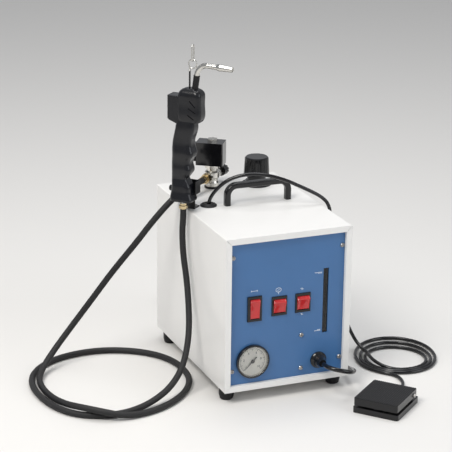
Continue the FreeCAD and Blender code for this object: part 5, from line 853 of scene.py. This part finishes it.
class CLEANER_OT_gun(bpy.types.Operator):
    """Steam gun, its lance, nozzle, hanger and holder"""

    bl_idname = "cleaner.gun"
    bl_label = "Steam gun"

    def execute(self, context):
        grip = moulded("grip plastic", (0.0055, 0.006, 0.008), 0.27, grain=1700.0, bump=0.16, coat=0.2,
                       dust=0.02, marks=0.3, light=2.2)
        finish(grip, "handle_shell_left", "handle_shell_right")
        chrome = metal("bright chrome", (0.62, 0.61, 0.58), 0.08, bump=0.02, marks=0.3, dark=0.6)
        finish(chrome, "nozzle_tip", "steam_lance", "hanger_ring", "hanger_hook")
        finish(painted("black wire", (0.005, 0.005, 0.006), 0.3), "hanger_rod")
        finish(painted("bracket black", (0.008, 0.008, 0.009), 0.32, marks=0.2), "holder_bracket")
        return {"FINISHED"}


def pedal_helix(name, material, turns=5, per_turn=30, around=12):
    """Wire spring: a helix round a point, rising evenly with its angle, with a ring of wire square to it."""
    radius, wire, low, high = SPRING_R, SPRING_WIRE_R, SPRING_LOW_Z, SPRING_HIGH_Z
    angle = np.linspace(0.0, 2 * math.pi * turns, turns * per_turn + 1)
    out = np.stack([np.cos(angle), np.sin(angle), np.zeros_like(angle)], axis=-1)
    centre = radius * out + np.array([SPRING_X, 0.0, 0.0])
    centre[:, 2] = low + (high - low) * angle / angle[-1]
    rise = np.full_like(angle, (high - low) / angle[-1])
    way = np.stack([-radius * np.sin(angle), radius * np.cos(angle), rise], axis=-1)
    way /= np.linalg.norm(way, axis=1)[:, None]
    side = np.cross(way, out)
    ring = np.linspace(0.0, 2 * math.pi, around, endpoint=False)
    over, beside = np.cos(ring)[None, :, None], np.sin(ring)[None, :, None]
    points = centre[:, None] + wire * (over * out[:, None] + beside * side[:, None])
    c, s = math.cos(PEDAL_YAW), math.sin(PEDAL_YAW)
    turn = np.array([[c, -s, 0.0], [s, c, 0.0], [0.0, 0.0, 1.0]])
    return surface(name, (points @ turn.T + PEDAL_AT) * MM, material, close_across=True, cap=True)


class CLEANER_OT_pedal(bpy.types.Operator):
    """Foot pedal and its return spring"""

    bl_idname = "cleaner.pedal"
    bl_label = "Foot pedal"

    def execute(self, context):
        finish(moulded("pedal plastic", (0.005, 0.005, 0.006), 0.27, grain=1200.0, bump=0.14, coat=0.3,
                       dust=0.03, marks=0.25), "pedal_base", "pedal_plate", "pedal_switch")
        steel = metal("spring steel", (0.55, 0.54, 0.53), 0.3)
        finish(steel, "pedal_pin")
        spring = pedal_helix("pedal_return_spring", steel)
        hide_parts("pedal_spring")
        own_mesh(spring)
        return {"FINISHED"}


class CLEANER_OT_inside(bpy.types.Operator):
    """Boiler, element, level gauge and other inner works"""

    bl_idname = "cleaner.inside"
    bl_label = "Inner works"

    def execute(self, context):
        steel = metal("boiler steel", (0.52, 0.52, 0.52), 0.35, stretch=(0.05, 0.05, 1.0))
        finish(steel, "boiler_tank", "heating_element", "valve_plunger")
        finish(metal("pipe brass", (0.6, 0.42, 0.2), 0.35), "boiler_pipes", "sight_fittings")
        finish(glass("level glass", (0.9, 0.93, 0.93)), "sight_tube")
        finish(glass("window acrylic", (0.10, 0.11, 0.12), roughness=0.12), "level_window")
        finish(moulded("control block", (0.02, 0.02, 0.022), 0.45), "pressure_switch")
        return {"FINISHED"}


class CLEANER_OT_stage(bpy.types.Operator):
    """Pale floor, soft lights and the camera"""

    bl_idname = "cleaner.stage"
    bl_label = "Stage"

    def execute(self, context):
        settings = look()
        scene = context.scene
        reach = 12.0
        mesh = bpy.data.meshes.new("studio_floor")
        mesh.from_pydata([(-reach, -reach, 0), (reach, -reach, 0), (reach, reach, 0), (-reach, reach, 0)], [],
                         [(0, 1, 2, 3)])
        floor = bpy.data.objects.new("studio_floor", mesh)
        scene.collection.objects.link(floor)
        mesh.materials.append(painted("floor paint", settings.floor_colour, 0.7, grain=200.0, bump=0.02,
                                      marks=0.05, mark_scale=0.8))
        world = bpy.data.worlds.new("studio")
        scene.world = world
        world.use_nodes = True
        tree = world.node_tree
        tree.nodes.clear()
        sky = add_node(tree, "ShaderNodeBackground", (0, 0), Color=(0.94, 0.96, 1.0, 1.0), Strength=0.42)
        out = add_node(tree, "ShaderNodeOutputWorld", (300, 0))
        tree.links.new(sky.outputs[0], out.inputs[0])
        for name, spot, size, power, colour in (
                ("key", (-1.5, -0.9, 2.3), 1.2, 52.0, (1.0, 0.97, 0.93)),
                ("fill", (1.9, -2.0, 1.4), 1.8, 22.0, (0.93, 0.96, 1.0)),
                ("top", (0.2, 0.4, 2.6), 1.4, 24.0, (1.0, 1.0, 1.0))):
            lamp = bpy.data.lights.new(name, "AREA")
            lamp.size = size
            lamp.energy = power
            lamp.color = colour
            holder = bpy.data.objects.new(name, lamp)
            holder.location = spot
            holder.rotation_euler = (Vector((0, 0, 0.15)) - Vector(spot)).to_track_quat("-Z", "Y").to_euler()
            scene.collection.objects.link(holder)
        camera = bpy.data.cameras.new("camera")
        camera.lens = settings.camera_lens
        camera.sensor_width = 36.0
        camera.clip_start = 0.1
        camera.clip_end = 60.0
        holder = bpy.data.objects.new("camera", camera)
        azimuth, elevation, roll = settings.camera_azimuth, settings.camera_elevation, settings.camera_roll
        back = Vector((math.sin(azimuth) * math.cos(elevation), -math.cos(azimuth) * math.cos(elevation),
                       math.sin(elevation)))
        right = Vector((math.cos(azimuth), math.sin(azimuth), 0.0))
        up = back.cross(right)
        turned_right = right * math.cos(roll) + up * math.sin(roll)
        turned_up = up * math.cos(roll) - right * math.sin(roll)
        holder.matrix_world = Matrix((
            (turned_right.x, turned_up.x, back.x, CAMERA_AT[0]),
            (turned_right.y, turned_up.y, back.y, CAMERA_AT[1]),
            (turned_right.z, turned_up.z, back.z, CAMERA_AT[2]), (0, 0, 0, 1)))
        scene.collection.objects.link(holder)
        scene.camera = holder
        scene.view_settings.view_transform = "Standard"
        return {"FINISHED"}


class CLEANER_PT_panel(bpy.types.Panel):
    """Lists the pieces of the steam cleaner and their settings"""

    bl_label = "Steam Cleaner"
    bl_idname = "CLEANER_PT_panel"
    bl_space_type = "VIEW_3D"
    bl_region_type = "UI"
    bl_category = "Steam Cleaner"

    def draw(self, context):
        for operator in OPERATORS:
            self.layout.operator(operator.bl_idname)
        for name in CleanerLook.__annotations__:
            self.layout.prop(context.scene.steam_cleaner, name)


OPERATORS = (
    CLEANER_OT_stage, CLEANER_OT_leads, CLEANER_OT_cabinet, CLEANER_OT_marks, CLEANER_OT_switches,
    CLEANER_OT_gauge, CLEANER_OT_valve, CLEANER_OT_gun, CLEANER_OT_pedal, CLEANER_OT_inside,
)


def register():
    for kind in (CleanerLook, *OPERATORS, CLEANER_PT_panel):
        bpy.utils.register_class(kind)
    bpy.types.Scene.steam_cleaner = bpy.props.PointerProperty(type=CleanerLook)


def unregister():
    del bpy.types.Scene.steam_cleaner
    for kind in reversed((CleanerLook, *OPERATORS, CLEANER_PT_panel)):
        bpy.utils.unregister_class(kind)


def main():
    register()
    for operator in OPERATORS:
        family, name = operator.bl_idname.split(".")
        getattr(getattr(bpy.ops, family), name)()


if __name__ == "__main__":
    main()
